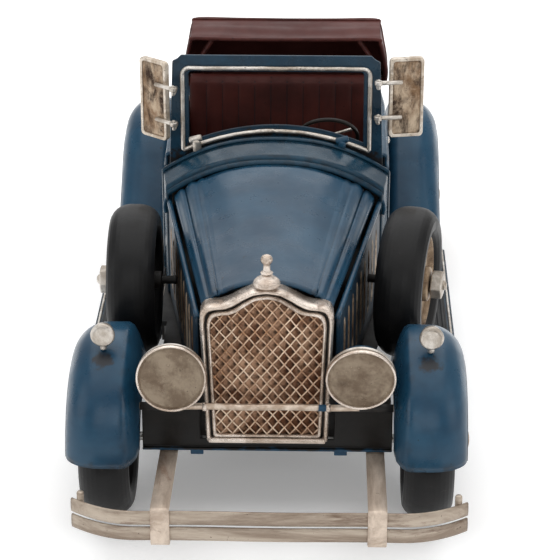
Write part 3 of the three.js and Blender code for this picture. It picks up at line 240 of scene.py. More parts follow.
def sill_shade_and_stain(p):
    """Painted shade, with some brown patina, under the windscreen's wire, where its foot curves up over the
    cowl. Metres.
    """
    across = p.axis("X")
    curve = p.math("MULTIPLY", p.math("MULTIPLY", across, across, False), 5.9, False)
    depth = p.math("SUBTRACT", p.math("SUBTRACT", 0.0932, curve, False), p.axis("Z"), False)
    return p.times(p.ramp(p.ragged(depth, p.noise(200, 5, 0.7), 0.25, 0.75, 0.0035), -0.0006, 0.0012), 0.9)


def rubber():
    p = Paint("tyre_black")
    dust = p.ramp(p.noise(60, 6, 0.65), 0.4, 0.75)
    scuff = p.ramp(p.noise(300, 3, 0.6), 0.66, 0.74)
    colour = p.mix(p.times(scuff, 0.4), p.mix(dust, linear(14, 14, 15), linear(25, 24, 24)),
                   linear(48, 46, 44))
    return p.finish(colour, p.ramp(dust, 0.0, 1.0, (0.42, 0.6)), 0.0,
                    p.bump(p.noise(500, 3, 0.6), 0.0002, 0.35), 0.22)


def banded(name, first, second, letter, low, high):
    """One coat over another where the piece lies between two places along an axis, in metres."""
    p = Paint(name)
    place = p.ragged(p.axis(letter), p.noise(240, 4, 0.6), 0.2, 0.8, 0.0006)
    soft = 0.0004
    inside = p.times(p.ramp(place, low - soft, low + soft), p.ramp(place, high + soft, high - soft))
    grain = p.noise(260, 5, 0.65)
    base, over = (p.mix(p.ramp(grain, 0.35, 0.7), linear(*coat[0]), linear(*coat[1]))
                  for coat in (first, second))
    metal = p.ramp(inside, 0.0, 1.0, (first[2], second[2]))
    return p.finish(p.mix(inside, base, over), p.ramp(grain, 0.3, 0.7, (0.34, 0.5)), metal,
                    p.bump(grain, 0.0004, 0.3), 0.25)


CHIP = (20, 20, 22)
BLUE_TONES = ((18, 52, 74), (26, 66, 90), (40, 82, 106), CHIP)
BLUE = enamel("blue_enamel", BLUE_TONES)
# The front fenders' blue, with the marker lamps' shadow painted on under them.
FENDER_BLUE = enamel("fender_enamel", BLUE_TONES, stain_and_shade=lamp_shadow)
# The windscreen's blue, with painted shade and some patina under its wire.
SCREEN_BLUE = enamel("screen_enamel", ((14, 42, 60), (20, 54, 74), (34, 70, 90), CHIP), stain_and_shade=sill_shade_and_stain)
# A darker, less glossy copy of the blue: painted shade on the cowl, which lies under the windscreen.
COWL_BLUE_SHADED = enamel("cowl_enamel_shaded", ((12, 40, 56), (18, 52, 70), (30, 68, 88), CHIP), 0.24, gloss=0.16)
BLUE_SHADE = enamel("blue_enamel_shade", ((8, 30, 44), (14, 44, 62), (24, 58, 78), CHIP), 0.45)
BURGUNDY = enamel("burgundy_enamel", ((64, 31, 28), (80, 41, 37), (98, 56, 51), (30, 16, 15)), 0.42,
                  gloss=0.14)
SEAT_RED = enamel("seat_burgundy", ((40, 13, 10), (58, 21, 17), (74, 31, 25), (14, 6, 5)), 0.5, gloss=0.12)
BLACK = enamel("black_enamel", ((12, 10, 9), (20, 17, 15), (32, 28, 25), (58, 50, 43)), 0.5, 0.3)
SILVER = patina("silver_trim", ((216, 210, 202), (164, 153, 140), (74, 50, 33)), 0.4, 0.28)
SHELL = patina("radiator_silver", ((230, 218, 207), (178, 161, 146), (84, 56, 38)), 0.5, 0.26)
BRUSHED = patina("bumper_silver", ((180, 167, 152), (134, 119, 105), (88, 60, 42)), metal=0.65,
                 brushed=(0.16, 0.6, 1.3))
# A brighter copy of the bumpers' silver: painted light on the front bumper irons, which sit in the body's
# shade.
IRON_LIT = patina("iron_silver_lit", ((214, 198, 182), (172, 154, 138), (110, 76, 54)), 0.45, 0.4, 0.45,
              brushed=(1, 0.2, 1))
LENS = patina("lamp_silver", ((140, 126, 109), (108, 93, 78), (80, 62, 47)), 0.3, 0.26, 0.65, 1.6, swirl=0.15)
WING = patina("wing_silver", ((222, 212, 199), (176, 159, 140), (72, 46, 28)), 0.55, 0.34, 0.65, 1.6)
MOTTLED = patina("wing_panel", ((196, 176, 152), (128, 100, 74), (46, 26, 14)), 1.05, 0.42, 0.5, 1.3,
                 (1, 1, 0.55), 0.4)
DISC = patina("wheel_disc", ((172, 150, 124), (120, 99, 78), (64, 42, 26)), 0.7, 0.42, 0.5, 1.4)
BRONZE = patina("grille_bronze", ((172, 138, 112), (94, 59, 39), (36, 22, 14)), 0.6, 0.4, 0.6)
WIRE = patina("grille_wire", ((244, 222, 198), (178, 136, 103), (84, 54, 36)), 0.5, 0.28, 0.8, 1.2)
STEEL = patina("bright_steel", ((180, 180, 178), (140, 140, 138), (70, 60, 50)), 0.25, 0.3, 0.95)
BRASS = patina("gear_brass", ((190, 156, 100), (150, 116, 68), (82, 56, 30)), 0.25, 0.32, 0.95)
RUBBER = rubber()
DARK_COAT = ((13, 12, 11), (24, 21, 19), 0.0)
BLUE_COAT = ((18, 52, 76), (30, 72, 98), 0.0)
SILVER_COAT = ((170, 150, 132), (226, 212, 197), 0.7)
APRON = banded("apron_paint", DARK_COAT, BLUE_COAT, "Z", 0.0, 0.0283)
BAR = banded("light_bar", SILVER_COAT, BLUE_COAT, "X", 0.0175, 0.0212)


# ------------------------------------------------------------------ meshes
def linked(name, data):
    """A new object for the data, in the scene."""
    made = bpy.data.objects.new(name, data)
    bpy.context.scene.collection.objects.link(made)
    return made


def outward(name, points, faces, hard=False):
    """Mesh data from points in millimetres, its faces turned outward. hard marks its sharp edges."""
    data = bpy.data.meshes.new(name)
    data.from_pydata([(x * MM, y * MM, (z + DATUM) * MM) for x, y, z in points], [], faces)
    work = bmesh.new()
    work.from_mesh(data)
    bmesh.ops.remove_doubles(work, verts=work.verts, dist=1e-7)
    bmesh.ops.recalc_face_normals(work, faces=work.faces)
    if hard:
        layer = work.edges.layers.float.get("crease_edge") or work.edges.layers.float.new("crease_edge")
        for edge in work.edges:
            if len(edge.link_faces) == 2 and edge.calc_face_angle(0) > math.radians(50):
                edge[layer] = 0.75
    work.to_mesh(data)
    work.free()
    return data


def rounded_edges(piece, width, sharpness):
    """Rounds the edges that turn by more than so many degrees."""
    modifier = piece.modifiers.new("bevel", "BEVEL")
    modifier.width = width * MM
    modifier.segments = 2
    modifier.limit_method = "ANGLE"
    modifier.angle_limit = math.radians(sharpness)
    return modifier


def mesh(name, points, faces, material, body="car", node=None, bevel=0.0, hard=False, slot=None):
    """A closed piece from points in millimetres, on its body, standing for its CAD node."""
    data = outward(name, points, faces, hard)
    for polygon in data.polygons:
        polygon.use_smooth = True
    piece = linked(name, data)
    data.materials.append(material)
    if bevel:
        rounded_edges(piece, bevel, 32).harden_normals = True
    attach(piece, body)
    if node:
        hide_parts(node)
    return piece


def carve(piece, *cutters):
    """Cuts closed solids out of a piece for good. Each cutter is (points, faces)."""
    for points, faces in cutters:
        cutter = linked("cutter", outward("cutter", points, faces))
        modifier = piece.modifiers.new("carve", "BOOLEAN")
        modifier.operation = "DIFFERENCE"
        modifier.solver = "EXACT"
        modifier.object = cutter
        bpy.context.view_layer.update()
        graph = bpy.context.evaluated_depsgraph_get()
        result = bpy.data.meshes.new_from_object(piece.evaluated_get(graph), depsgraph=graph)
        piece.modifiers.clear()
        old = piece.data
        piece.data = result
        result.name = piece.name
        bpy.data.meshes.remove(old)
        bpy.data.objects.remove(cutter)


def strips(rows, columns, around=False, along=False):
    """The quads of a grid, closed round its columns or along its rows where asked."""
    faces = []
    for i in range(rows if along else rows - 1):
        for j in range(columns if around else columns - 1):
            here, below = i * columns, (i + 1) % rows * columns
            after = (j + 1) % columns
            faces.append((here + j, here + after, below + after, below + j))
    return faces


def swept(rings, closed=False):
    """Points and faces through rings of points, with both ends capped unless the last meets the first."""
    count, sides = len(rings), len(rings[0])
    faces = strips(count, sides, around=True, along=closed)
    if not closed:
        faces += [tuple(reversed(range(sides))), tuple(range((count - 1) * sides, count * sides))]
    return [p for ring in rings for p in ring], faces


def extruded(low, high):
    """Points and faces of the solid between a loop of points and its copy."""
    return swept([low, high])


def two_faced(front, back, rows, columns):
    """Points and faces of the body between a grid of points and one behind it."""
    count = rows * columns
    faces = strips(rows, columns)
    faces += [tuple(count + k for k in reversed(f)) for f in faces]
    ring = list(range(columns)) + [i * columns + columns - 1 for i in range(1, rows)]
    ring += [(rows - 1) * columns + j for j in range(columns - 2, -1, -1)]
    ring += [i * columns for i in range(rows - 2, 0, -1)]
    faces += [(a, a + count, b + count, b) for a, b in zip(ring, ring[1:] + ring[:1])]
    return [*front, *back], faces


def gathered(bodies):
    """The points and faces of several bodies as one."""
    points, faces = [], []
    for more, sides in bodies:
        faces += [tuple(len(points) + k for k in face) for face in sides]
        points += more
    return points, faces


def leftward(path):
    """At each point of a flat path, the unit vector to the left of its way."""
    made = []
    for k in range(len(path)):
        (u0, v0), (u1, v1) = path[max(k - 1, 0)], path[min(k + 1, len(path) - 1)]
        length = math.hypot(u1 - u0, v1 - v0) or 1
        made.append((-(v1 - v0) / length, (u1 - u0) / length))
    return made


def circle(radius, count):
    turns = [2 * math.pi * k / count for k in range(count)]
    return [(radius * math.cos(a), radius * math.sin(a)) for a in turns]


def flipped(line, sign):
    return [(x * sign, y, z) for x, y, z in line]


def shell_of(grid, thickness, inward=1):
    """Points and faces of a sheet of even thickness behind a grid of points."""
    g = np.array(grid, float)
    normal = np.cross(np.gradient(g, axis=0), np.gradient(g, axis=1))
    normal /= np.linalg.norm(normal, axis=2, keepdims=True) + 1e-12
    back = g + normal * inward * thickness
    return two_faced(g.reshape(-1, 3), back.reshape(-1, 3), *g.shape[:2])


def sheet(name, grid, thickness, material, inward=1, **more):
    return mesh(name, *shell_of(grid, thickness, inward), material, hard=True, **more)


def tube(name, line, radius, material, sides=12, closed=False, **more):
    """A round bar along a line of points. radius is one number, or one for each point."""
    line = [Vector(p) for p in line]
    count = len(line)
    radii = radius if hasattr(radius, "__len__") else [radius] * count
    rings, up = [], None
    for i, p in enumerate(line):
        before = line[i - 1] if i or closed else p
        after = line[(i + 1) % count] if i < count - 1 or closed else p
        way = (after - before).normalized()
        up = up or way.orthogonal().normalized()
        up = (up - way * up.dot(way)).normalized()
        other = way.cross(up)
        rings.append([p + up * u + other * v for u, v in circle(radii[i], sides)])
    return mesh(name, *swept(rings, closed), material, **more)


def bar(name, start, end, radius, material, **more):
    """A straight round bar with softened ends."""
    a, b = Vector(start), Vector(end)
    way = (b - a).normalized()
    soft = min(radius * 0.5, (b - a).length / 4)
    line = [a, a + way * soft * 0.4, a + way * soft, b - way * soft, b - way * soft * 0.4, b]
    return tube(name, line, [radius * 0.72, radius * 0.93, radius, radius, radius * 0.93, radius * 0.72],
                material, 20, **more)


def rounded(profile, radius=0.25, closed=False):
    """The profile with each corner turned into a small curve."""
    made = []
    count = len(profile)
    for i, p in enumerate(profile):
        if not closed and i in (0, count - 1):
            made.append(p)
            continue
        a, b, c = Vector(profile[i - 1]), Vector(p), Vector(profile[(i + 1) % count])
        to_a, to_c = a - b, c - b
        reach = min(radius, to_a.length * 0.45, to_c.length * 0.45)
        start, end = b + to_a.normalized() * reach, b + to_c.normalized() * reach
        for t in (0, 0.33, 0.67, 1):
            made.append(tuple(start * (1 - t) ** 2 + b * 2 * t * (1 - t) + end * t * t))
    return made


def along(axis, u, v, w):
    """The point at w along an axis, and at u and v along the other two."""
    return Vector({"x": (w, u, v), "y": (u, w, v), "z": (u, v, w)}[axis])


def lathe(name, profile, centre, material, axis="x", sign=1, turn=None, segments=72, soften=0.25, wave=None,
          **more):
    """[radius, height] pairs turned about a line along x, y or z through the centre."""
    closed = profile[0][0] > 1e-6 and profile[-1][0] > 1e-6
    line = rounded(profile, soften, closed)
    move = Matrix.Translation(Vector(centre)) @ (turn or Matrix.Identity(4))
    points = []
    for k in range(segments):
        angle = 2 * math.pi * k / segments
        for r, h in line:
            lift = wave(r, angle) if wave else 0
            points.append(move @ along(axis, r * math.cos(angle), r * math.sin(angle), (h + lift) * sign))
    return mesh(name, points, strips(segments, len(line), around=closed, along=True), material, **more)


def prism(name, outline, low, high, axis, material, bevel=0.3, place=Matrix.Identity(4), **more):
    """A flat outline of [u, v] pairs pushed along the third axis, with rounded edges."""
    ends = ([place @ along(axis, u, v, w) for u, v in outline] for w in (low, high))
    return mesh(name, *extruded(*ends), material, bevel=bevel, **more)


def resampled(outline, count):
    """A closed outline as evenly spaced points, starting where it starts."""
    p = np.array(list(outline) + [outline[0]], float)
    run = np.concatenate([[0], np.cumsum(np.linalg.norm(np.diff(p, axis=0), axis=1))])
    at = np.linspace(0, run[-1], count, endpoint=False)
    return [(float(np.interp(s, run, p[:, 0])), float(np.interp(s, run, p[:, 1]))) for s in at]


def softened(outline, rounds=2):
    """Corner cutting on a closed outline."""
    for _ in range(rounds):
        pairs = zip(outline, outline[1:] + outline[:1])
        outline = [(a[0] * (1 - t) + b[0] * t, a[1] * (1 - t) + b[1] * t) for a, b in pairs
                   for t in (0.25, 0.75)]
    return outline


def both_halves(half):
    return half + [(-u, v) for u, v in reversed(half) if u > 1e-6]


def spline(points, fine):
    """A smooth line through every point, with so many steps between two of them."""
    p = np.array(points, float)
    padded = np.concatenate([2 * p[:1] - p[1:2], p, 2 * p[-1:] - p[-2:-1]])
    made = []
    for i in range(1, len(p)):
        a, b, c, d = padded[i - 1:i + 3]
        for k in range(fine):
            t = k / fine
            made.append(0.5 * (2 * b + (c - a) * t + (2 * a - 5 * b + 4 * c - d) * t ** 2
                               + (3 * b - a - 3 * c + d) * t ** 3))
    made.append(p[-1])
    return np.array(made)


def refined(grid, fine_rows, fine_columns):
    """A smooth grid through every point of a coarse one."""
    g = np.array(grid, float)
    g = np.stack([spline(g[:, j], fine_rows) for j in range(g.shape[1])], 1)
    return np.stack([spline(g[i], fine_columns) for i in range(g.shape[0])], 0)


def carried(node, material, bevel=0.25):
    """A CAD node that stays: its edges are rounded and it takes a finish."""
    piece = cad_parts[node]
    piece.data.materials.clear()
    piece.data.materials.append(material)
    weld = piece.modifiers.new("weld", "WELD")
    weld.merge_threshold = 1e-6
    flat = piece.modifiers.new("flat", "DECIMATE")
    flat.decimate_type = "DISSOLVE"
    flat.angle_limit = math.radians(1)
    if bevel:
        rounded_edges(piece, bevel, 35)


# ------------------------------------------------------------------ the body's lines
def body_half(y):
    if y < 0:
        return 42 + 0.163 * y - 0.4
    return float(np.interp(y, [0, 13, 30, 75, 100, 120, 131], [41.6, 42.6, 43, 43, 41, 37, 31]))


def crown_line(y, inset, steps, deck=BELT_Z):
    t = (y - BONNET_FRONT) / (COWL_REAR - BONNET_FRONT)
    half = body_half(y) - inset
    edge = deck + 2.2 * (1 - t)
    crown = 81.4 + (CROWN_Z - 81.4) * min(1, t * 1.25)
    line = []
    for i in range(steps + 1):
        x = half * math.sin((2 * i / steps - 1) * math.pi / 2)
        line.append((x, edge + (crown - edge) * (1 - abs(x / half) ** 2.3)))
    return line


def arc(y, z, radius, start, end, steps):
    turns = [math.radians(start + (end - start) * i / steps) for i in range(steps + 1)]
    return [(y + radius * math.cos(a), z + radius * math.sin(a)) for a in turns]


def bezier(p0, p1, p2, p3, steps):
    made = []
    for i in range(steps + 1):
        t = i / steps
        w = ((1 - t) ** 3, 3 * t * (1 - t) ** 2, 3 * t * t * (1 - t), t ** 3)
        made.append(tuple(sum(k * p[n] for k, p in zip(w, (p0, p1, p2, p3))) for n in (0, 1)))
    return made


def crown_drop(share):
    inner = max(0.0, 0.22 - share) / 0.22
    outer = max(0.0, share - 0.5) / 0.5
    return 1.1 * inner ** 2 + 1.05 * (1 - math.sqrt(1 - min(outer, 0.985) ** 2))


# ------------------------------------------------------------------ fenders
SHARES = [0, 0.008, 0.03, 0.07, 0.11, 0.16, 0.22, 0.3, 0.4, 0.5, 0.58, 0.66, 0.73, 0.79, 0.84, 0.88, 0.915,
          0.945, 0.968, 0.985, 1]


def fender_grid(crest, shares_along, drop_along):
    grid = []
    for i, ((y, z), (up_y, up_z)) in enumerate(zip(crest, leftward(crest))):
        drop = drop_along(shares_along[i])
        row = []
        for share in SHARES:
            skirt = 0.55 * max(0, 1 - share / 0.02) + 0.12 * max(0, (share - 0.985) / 0.015)
            down = drop * (crown_drop(share) + skirt)
            x = FENDER_INNER + (FENDER_OUTER - FENDER_INNER) * share
            row.append((x, y - up_y * down, z - up_z * down))
        grid.append(row)
    return grid


def front_grid():
    over = arc(FRONT_ARCH_Y, ARCH_Z, FRONT_ARCH_RADIUS, 183, 48, 40)
    y, z = over[-1]
    end = (BOARD_LOW.y - GAP, BOARD_HIGH.z)
    sweep = bezier((y, z), (y + 13.4, z - 12), (end[0] - 24, end[1]), end, 20)
    along = [8 / 13 * i / 40 for i in range(41)] + [8 / 13 + 5 / 13 * i / 20 for i in range(1, 21)]
    return fender_grid(over + sweep[1:], along, lambda t: 8 + 5 * math.sin(math.pi * min(1, t * 1.3)))


def rear_grid():
    over = arc(REAR_AXLE_Y, ARCH_Z, REAR_ARCH_RADIUS, 140, -8, 45)
    y, z = over[0]
    start = (60, BOARD_HIGH.z)
    rise = bezier(start, (start[0] + 4, start[1] + 8), (y - 6.4, z - 7.7), (y, z), 16)
    along = [4 / 13 * i / 16 for i in range(16)] + [4 / 13 + 9 / 13 * i / 45 for i in range(46)]
    return fender_grid(rise[:-1] + over, along, lambda t: 6 + 8 * math.sin(math.pi * t))


def spare_turn(sign):
    return Matrix.Rotation(-SPARE_TOE[sign] * sign, 4, "Z")


def well(sign):
    """The space that the spare tyre takes out of the front fender."""
    move = Matrix.Translation((SPARE.x * sign, SPARE.y, SPARE.z)) @ spare_turn(sign)
    ends = ([move @ Vector((x, u, v)) for u, v in circle(TYRE_RADIUS + 1.0, 64)] for x in (-9.6, 9.6))
    return extruded(*ends)


GROUND = extruded(*([(x, y, z) for x, y in ((-90, -200), (90, -200), (90, 200), (-90, 200))]
                    for z in (-20, BOARD_LOW.z)))
for side, sign in SIDES:
    fenders = (("front", front_grid(), FENDER_BLUE, (GROUND, well(sign))),
               ("rear", rear_grid(), BLUE, (GROUND,)))
    for name, grid, paint, cutters in fenders:
        skin = sheet(f"{name}_fender_skin_{side}", [flipped(row, sign) for row in grid], SKIN, paint, sign,
                     node=f"{name}_fender_{side}")
        carve(skin, *cutters)
    for name, grid, _, _ in fenders:
        hem = [((x - 0.35) * sign, y, z) for x, y, z in (row[-1] for row in grid) if z > BOARD_LOW.z + 0.6]
        tube(f"{name}_fender_hem_{side}", hem, 0.5, BLUE, 8)


# ------------------------------------------------------------------ wheels
def tyre_profile():
    wide = TYRE_HALF
    half = [(17.8, 5.4), (18.6, 7.2), (19.8, 8.2), (21.2, wide), (22.6, wide - 0.06), (23.1, wide - 0.02),
            (23.4, wide - 0.2), (24.6, wide - 0.9), (25.7, wide - 2.0), (26.5, wide - 3.3),
            (27.05, wide - 4.9), (TYRE_RADIUS, wide - 6.6)]
    return half + [(TYRE_RADIUS, 0)] + [(r, -h) for r, h in reversed(half)]


DISH = [(7.2, 1.4), (9.0, 1.2), (10.2, 1.7), (11.4, 1.9), (12.8, 1.5), (14.2, 1.2), (15.8, 1.6), (16.8, 3.2),
        (17.2, 5.2), (17.5, 5.2), (17.5, -5.2), (16.3, -1.2), (4.2, -1.2), (4.2, -6)]
HUB = [(2.6, 7.2), (3.4, 7.0), (5.6, 7.0), (6.3, 6.4), (6.3, 2.2), (6.6, 1.5)]
ROAD_DISC = [(0, 14.6), (1.5, 14.5), (2.9, 14.2), (3.9, 13.7), (4.2, 13.0), (4.2, 12.2), (3.6, 11.8),
             (2.6, 11.7), *HUB, *DISH, (1.6, -6), (1.6, 10.1), (0, 10.1)]
SPARE_DISC = [(1.6, 8.1), (3.4, 8.0), (5.4, 8.0), (6.2, 7.5), (6.4, 6.6), (6.4, 4.9), (6.9, 4.2), (8.4, 4.0),
              (10.2, 4.5), (12.4, 4.6), (14.4, 4.2), (16.0, 4.6), (16.9, 6.2), (17.4, 6.4), (17.5, 5.2),
              (17.5, -5.2), (16.3, -1.2), (4.2, -1.2), (4.2, -6), (1.6, -6)]

for side, sign in SIDES:
    for end, y in (("front", FRONT_AXLE_Y), ("rear", REAR_AXLE_Y)):
        body = f"front_wheel_{side}" if end == "front" else "rear_wheels"
        centre = (TRACK_HALF * sign, y, AXLE_Z)
        lathe(f"{end}_tyre_rubber_{side}", tyre_profile(), centre, RUBBER, sign=sign, segments=96, body=body,
              node=f"{end}_tyre_{side}")
        lathe(f"{end}_disc_pressing_{side}", ROAD_DISC, centre, DISC, sign=sign, body=body,
              node=f"{end}_wheel_disc_{side}")
    centre, turn = (SPARE.x * sign, SPARE.y, SPARE.z), spare_turn(sign)
    lathe(f"spare_tyre_rubber_{side}", tyre_profile(), centre, RUBBER, sign=sign, turn=turn, segments=96,
          node=f"spare_tyre_{side}")
    lathe(f"spare_disc_pressing_{side}", SPARE_DISC, centre, DISC, sign=sign, turn=turn,
          node=f"spare_wheel_disc_{side}")
    move = Matrix.Translation(centre) @ turn
    prism(f"spare_nut_{side}", circle(5.2, 6), *sorted((8.5 * sign, 12.7 * sign)), "x", SILVER, 0.6, move)
    reach = -(SPARE.x - body_half(SPARE.y) - 1.6)
    shank = [(0, 13.6), (0.9, 13.4), (1.5, 12.8), (1.5, 8.4), (2.9, 8.4), (3.1, 7.5), (1.5, 7.4), (1.5, -6.3),
             (3.2, -6.3), (3.2, -9.4), (1.5, -9.6), (1.5, reach), (0, reach)]
    lathe(f"spare_bolt_shank_{side}", shank, centre, BLACK, sign=sign, turn=turn, segments=40,
          node=f"spare_bolt_{side}")
    tip = [(0, 14.1), (1.0, 14.0), (1.7, 13.4), (1.75, 12.8), (3.4, 12.75), (3.4, 12.4), (0, 12.4)]
    lathe(f"spare_bolt_tip_{side}", tip, centre, SILVER, sign=sign, turn=turn, segments=32, soften=0.1)


# ------------------------------------------------------------------ radiator
def radiator_outline(inset):
    half = [(0, RADIATOR_BOTTOM + inset * 0.85), (20.6 - inset, RADIATOR_BOTTOM + inset * 0.85),
            (22.3 - inset, 70 - inset * 0.4), (22.1 - inset * 1.1, 73.4 - inset * 0.7),
            (20.9 - inset * 1.1, 75.5 - inset * 0.9), (18.7 - inset * 1.1, 76.2 - inset),
            (15.5 - inset, 76.4 - inset), (12.4 - inset * 0.8, 77.5 - inset),
            (8.8 - inset * 0.6, 79.7 - inset), (4.9 - inset * 0.3, 81.6 - inset), (0, 82.3 - inset)]
    return softened(resampled(both_halves(half), 150), 2)


def ringed(name, sections, material, **more):
    """A frame round the radiator's outline, from (inset, y) pairs that go once round its section."""
    rings = [[(x, y, z) for x, z in resampled(radiator_outline(inset), 260)] for inset, y in sections]
    return mesh(name, *swept(rings, True), material, **more)


front = RADIATOR_FRONT
ringed("radiator_frame", [(0, RADIATOR_BACK), (0, front + 1.7), (0.1, front + 0.9), (0.4, front + 0.3),
                          (0.85, front + 0.05), (1.3, front + 0.3), (1.55, front + 0.9), (1.65, front + 2.2),
                          (2.8, front + 2.3), (2.8, RADIATOR_BACK)], SHELL, node="radiator_shell")
ringed("radiator_groove", [(1.5, front + 1.9), (2.5, front + 1.9), (2.5, front + 2.25),
                           (1.5, front + 2.25)], BLACK)
ringed("radiator_bead", [(2.3, front + 1.8), (2.38, front + 0.9), (2.65, front + 0.35), (3.0, front + 0.2),
                         (3.35, front + 0.45), (3.55, front + 1.0), (3.5, front + 1.9), (2.5, front + 2.2)],
       SHELL)


def inside(outline, x, z):
    found = False
    for (x0, z0), (x1, z1) in zip(outline, outline[1:] + outline[:1]):
        if (z0 > z) != (z1 > z) and x < (x1 - x0) * (z - z0) / (z1 - z0) + x0:
            found = not found
    return found


def grille():
    """A woven lattice of round wires over a dark panel of dimpled bronze."""
    frame_line = radiator_outline(3.2)[::6]
    wide, tall, middle, step = 3.9, 4.8, 52, 0.6
    wires = []
    for family in (1, -1):
        slope = tall / wide * family
        way = Vector((1, slope)).normalized()
        for k in range(-40, 41):
            line = [Vector((k * wide, middle)) + way * s * step for s in range(-70, 71)]
            run = [p for p in line if inside(frame_line, p.x, p.y)]
            rings = []
            for p in run:
                crossing = -2 * (p.y - middle) / slope / wide
                weave = 0.16 * family * math.cos(math.pi * crossing) * (1 if k % 2 else -1)
                rings.append([(p.x - way.y * u, front + 1.45 + weave + v, p.y + way.x * u)
                              for u, v in circle(0.25, 6)])
            if len(run) > 2:
                wires.append(swept(rings))
    mesh("grille_wires", *gathered(wires), WIRE)


grille()
panel = radiator_outline(3.1)
low, high = box("grille_mesh")
columns, rows = 78, 104
grid = []
for z in np.linspace(low.z, high.z, rows + 1):
    width = max([abs(x) for x, y in panel if abs(y - z) < 1.2] + [4.0]) - 0.1
    grid.append([(x, front + 2.3 + 0.4 * math.sin(x * 1.61) * math.sin(z * 1.31), z)
                 for x in np.linspace(-width, width, columns + 1)])
sheet("grille_panel", grid, 0.6, BRONZE, 1, node="grille_mesh")
backing = [(-24.2, 23.6), (24.2, 23.6), (24.2, 42), (-24.2, 42)]
prism("radiator_backing", backing, RADIATOR_BACK + 0.6, RADIATOR_BACK + 1.2, "y", BLACK, 0.2)
bar("radiator_foot_rod", *((x, front + 0.2, RADIATOR_BOTTOM + 1.1) for x in (-19.8, 19.8)), 0.95, SHELL)

cap_low, cap_high = box("radiator_cap")
cap_place = ((cap_low.x + cap_high.x) / 2, (cap_low.y + cap_high.y) / 2, cap_low.z)
lathe("filler_cap", [(0, 4.2), (1.3, 4.15), (2.0, 3.7), (2.6, 3.0), (3.6, 2.4), (4.3, 1.7), (4.6, 0.9),
                     (4.5, 0.3), (4.0, 0),
                     (0, 0)], cap_place, SHELL, axis="z", segments=48, node="radiator_cap")
stem_low = box("mascot")[0].z
lathe("filler_finial", [(0, 6.6), (0.8, 6.5), (1.5, 6.1), (1.95, 5.4), (2.05, 4.7), (1.85, 4.0), (1.5, 3.5),
                        (1.2, 3.1), (1.15, 2.4), (1.2, 1.2), (1.5, 0.6), (2.1, 0.25), (2.1, 0),
                        (0, 0)], (cap_place[0], cap_place[1], stem_low), SHELL, axis="z", segments=36,
      node="mascot")


# ------------------------------------------------------------------ bonnet and cowl
rows = []
for y in np.linspace(BONNET_FRONT, BONNET_REAR, 37):
    line = crown_line(y, 2.4, 96)
    row = []
    for x, z in line:
        share = abs(x / line[0][0])
        for middle, tall, wide in ((0.84, 1.0, 0.04), (0.95, 0.8, 0.025), (0.74, 0.5, 0.02),
                                   (0.9, -0.7, 0.018)):
            z += tall * math.exp(-((share - middle) / wide) ** 2)
        row.append((x, y, z - 0.3))
    (x0, _, z0), (x1, _, z1) = row[0], row[-1]
    rows.append([(x0, y, z0 - 1.6), (x0, y, z0 - 0.7), *row, (x1, y, z1 - 0.7), (x1, y, z1 - 1.6)])
sheet("bonnet_pressing", rows, 0.8, BLUE, -1, node="bonnet_top")


def louvre(y, low_z, high_z, sign):
    """A scoop pressed out of the bonnet's side, as points and faces."""
    front_face, back_face = [], []
    for z, scale in ((low_z + 6, 0.1), (low_z + 7, 0.8), (low_z + 9, 1), (high_z - 8, 1), (high_z - 6, 0.8),
                     (high_z - 5, 0.1)):
        for share in (0, 0.15, 0.4, 0.7, 0.9, 1.0, 1.02):
            out = 1.1 * scale * math.sin(math.pi / 2 * min(share, 1)) if share < 1.01 else 0.05
            along_y = y - 1.4 + 2.8 * share
            skin = body_half(along_y)
            front_face.append(((skin + out) * sign, along_y, z))
            back_face.append(((skin + out / 2 - 0.3) * sign, along_y, z))
    return two_faced(front_face, back_face, 6, 7)


for side, sign in SIDES:
    low_z, high_z = SILL_Z, BELT_Z - 2.2
    panel = [[((body_half(y) - 0.1) * sign, y, z) for z in np.linspace(low_z, high_z, 12)]
             for y in np.linspace(BONNET_FRONT, BONNET_REAR, 24)]
    sheet(f"bonnet_panel_{side}", panel, 0.8, BLUE_SHADE, sign, node=f"bonnet_side_{side}")
    scoops = [louvre(y, low_z, high_z, sign) for y in np.linspace(BONNET_FRONT + 12, BONNET_REAR - 12, 9)]
    mesh(f"bonnet_louvres_{side}", *gathered(scoops), MOTTLED)
    rod_line = [((body_half(y) + 0.3) * sign, y, high_z + 0.2)
                for y in np.linspace(BONNET_FRONT, COWL_FRONT + 2, 24)]
    tube(f"bonnet_belt_rod_{side}", rod_line, 1.0, BLUE)

stations = [(COWL_FRONT, 0.0), (-14.6, 0.5), (-14.1, 0.7), (-13.4, 0.5), (-13.0, 0.1), (-12.6, 0), (-6, 0),
            (0, 0), (5, 0), (COWL_REAR - 4.9, 0), (COWL_REAR - 4.5, 0.15), (COWL_REAR - 4.1, 0.6),
            (COWL_REAR - 3.5, 0.75), (COWL_REAR - 2.9, 0.6), (COWL_REAR - 2.5, 0.15), (COWL_REAR - 2.1, 0),
            (COWL_REAR, 0)]
rows = []
side_heights = [SILL_Z, 38, 44, 50, 56, 62, 66, 69]
for y, rise in stations:
    half = body_half(y) + rise
    left = [(-half, y, z) for z in side_heights]
    rows.append(left + [(x, y, z + rise) for x, z in crown_line(y, -rise, 64)] + flipped(reversed(left), -1))
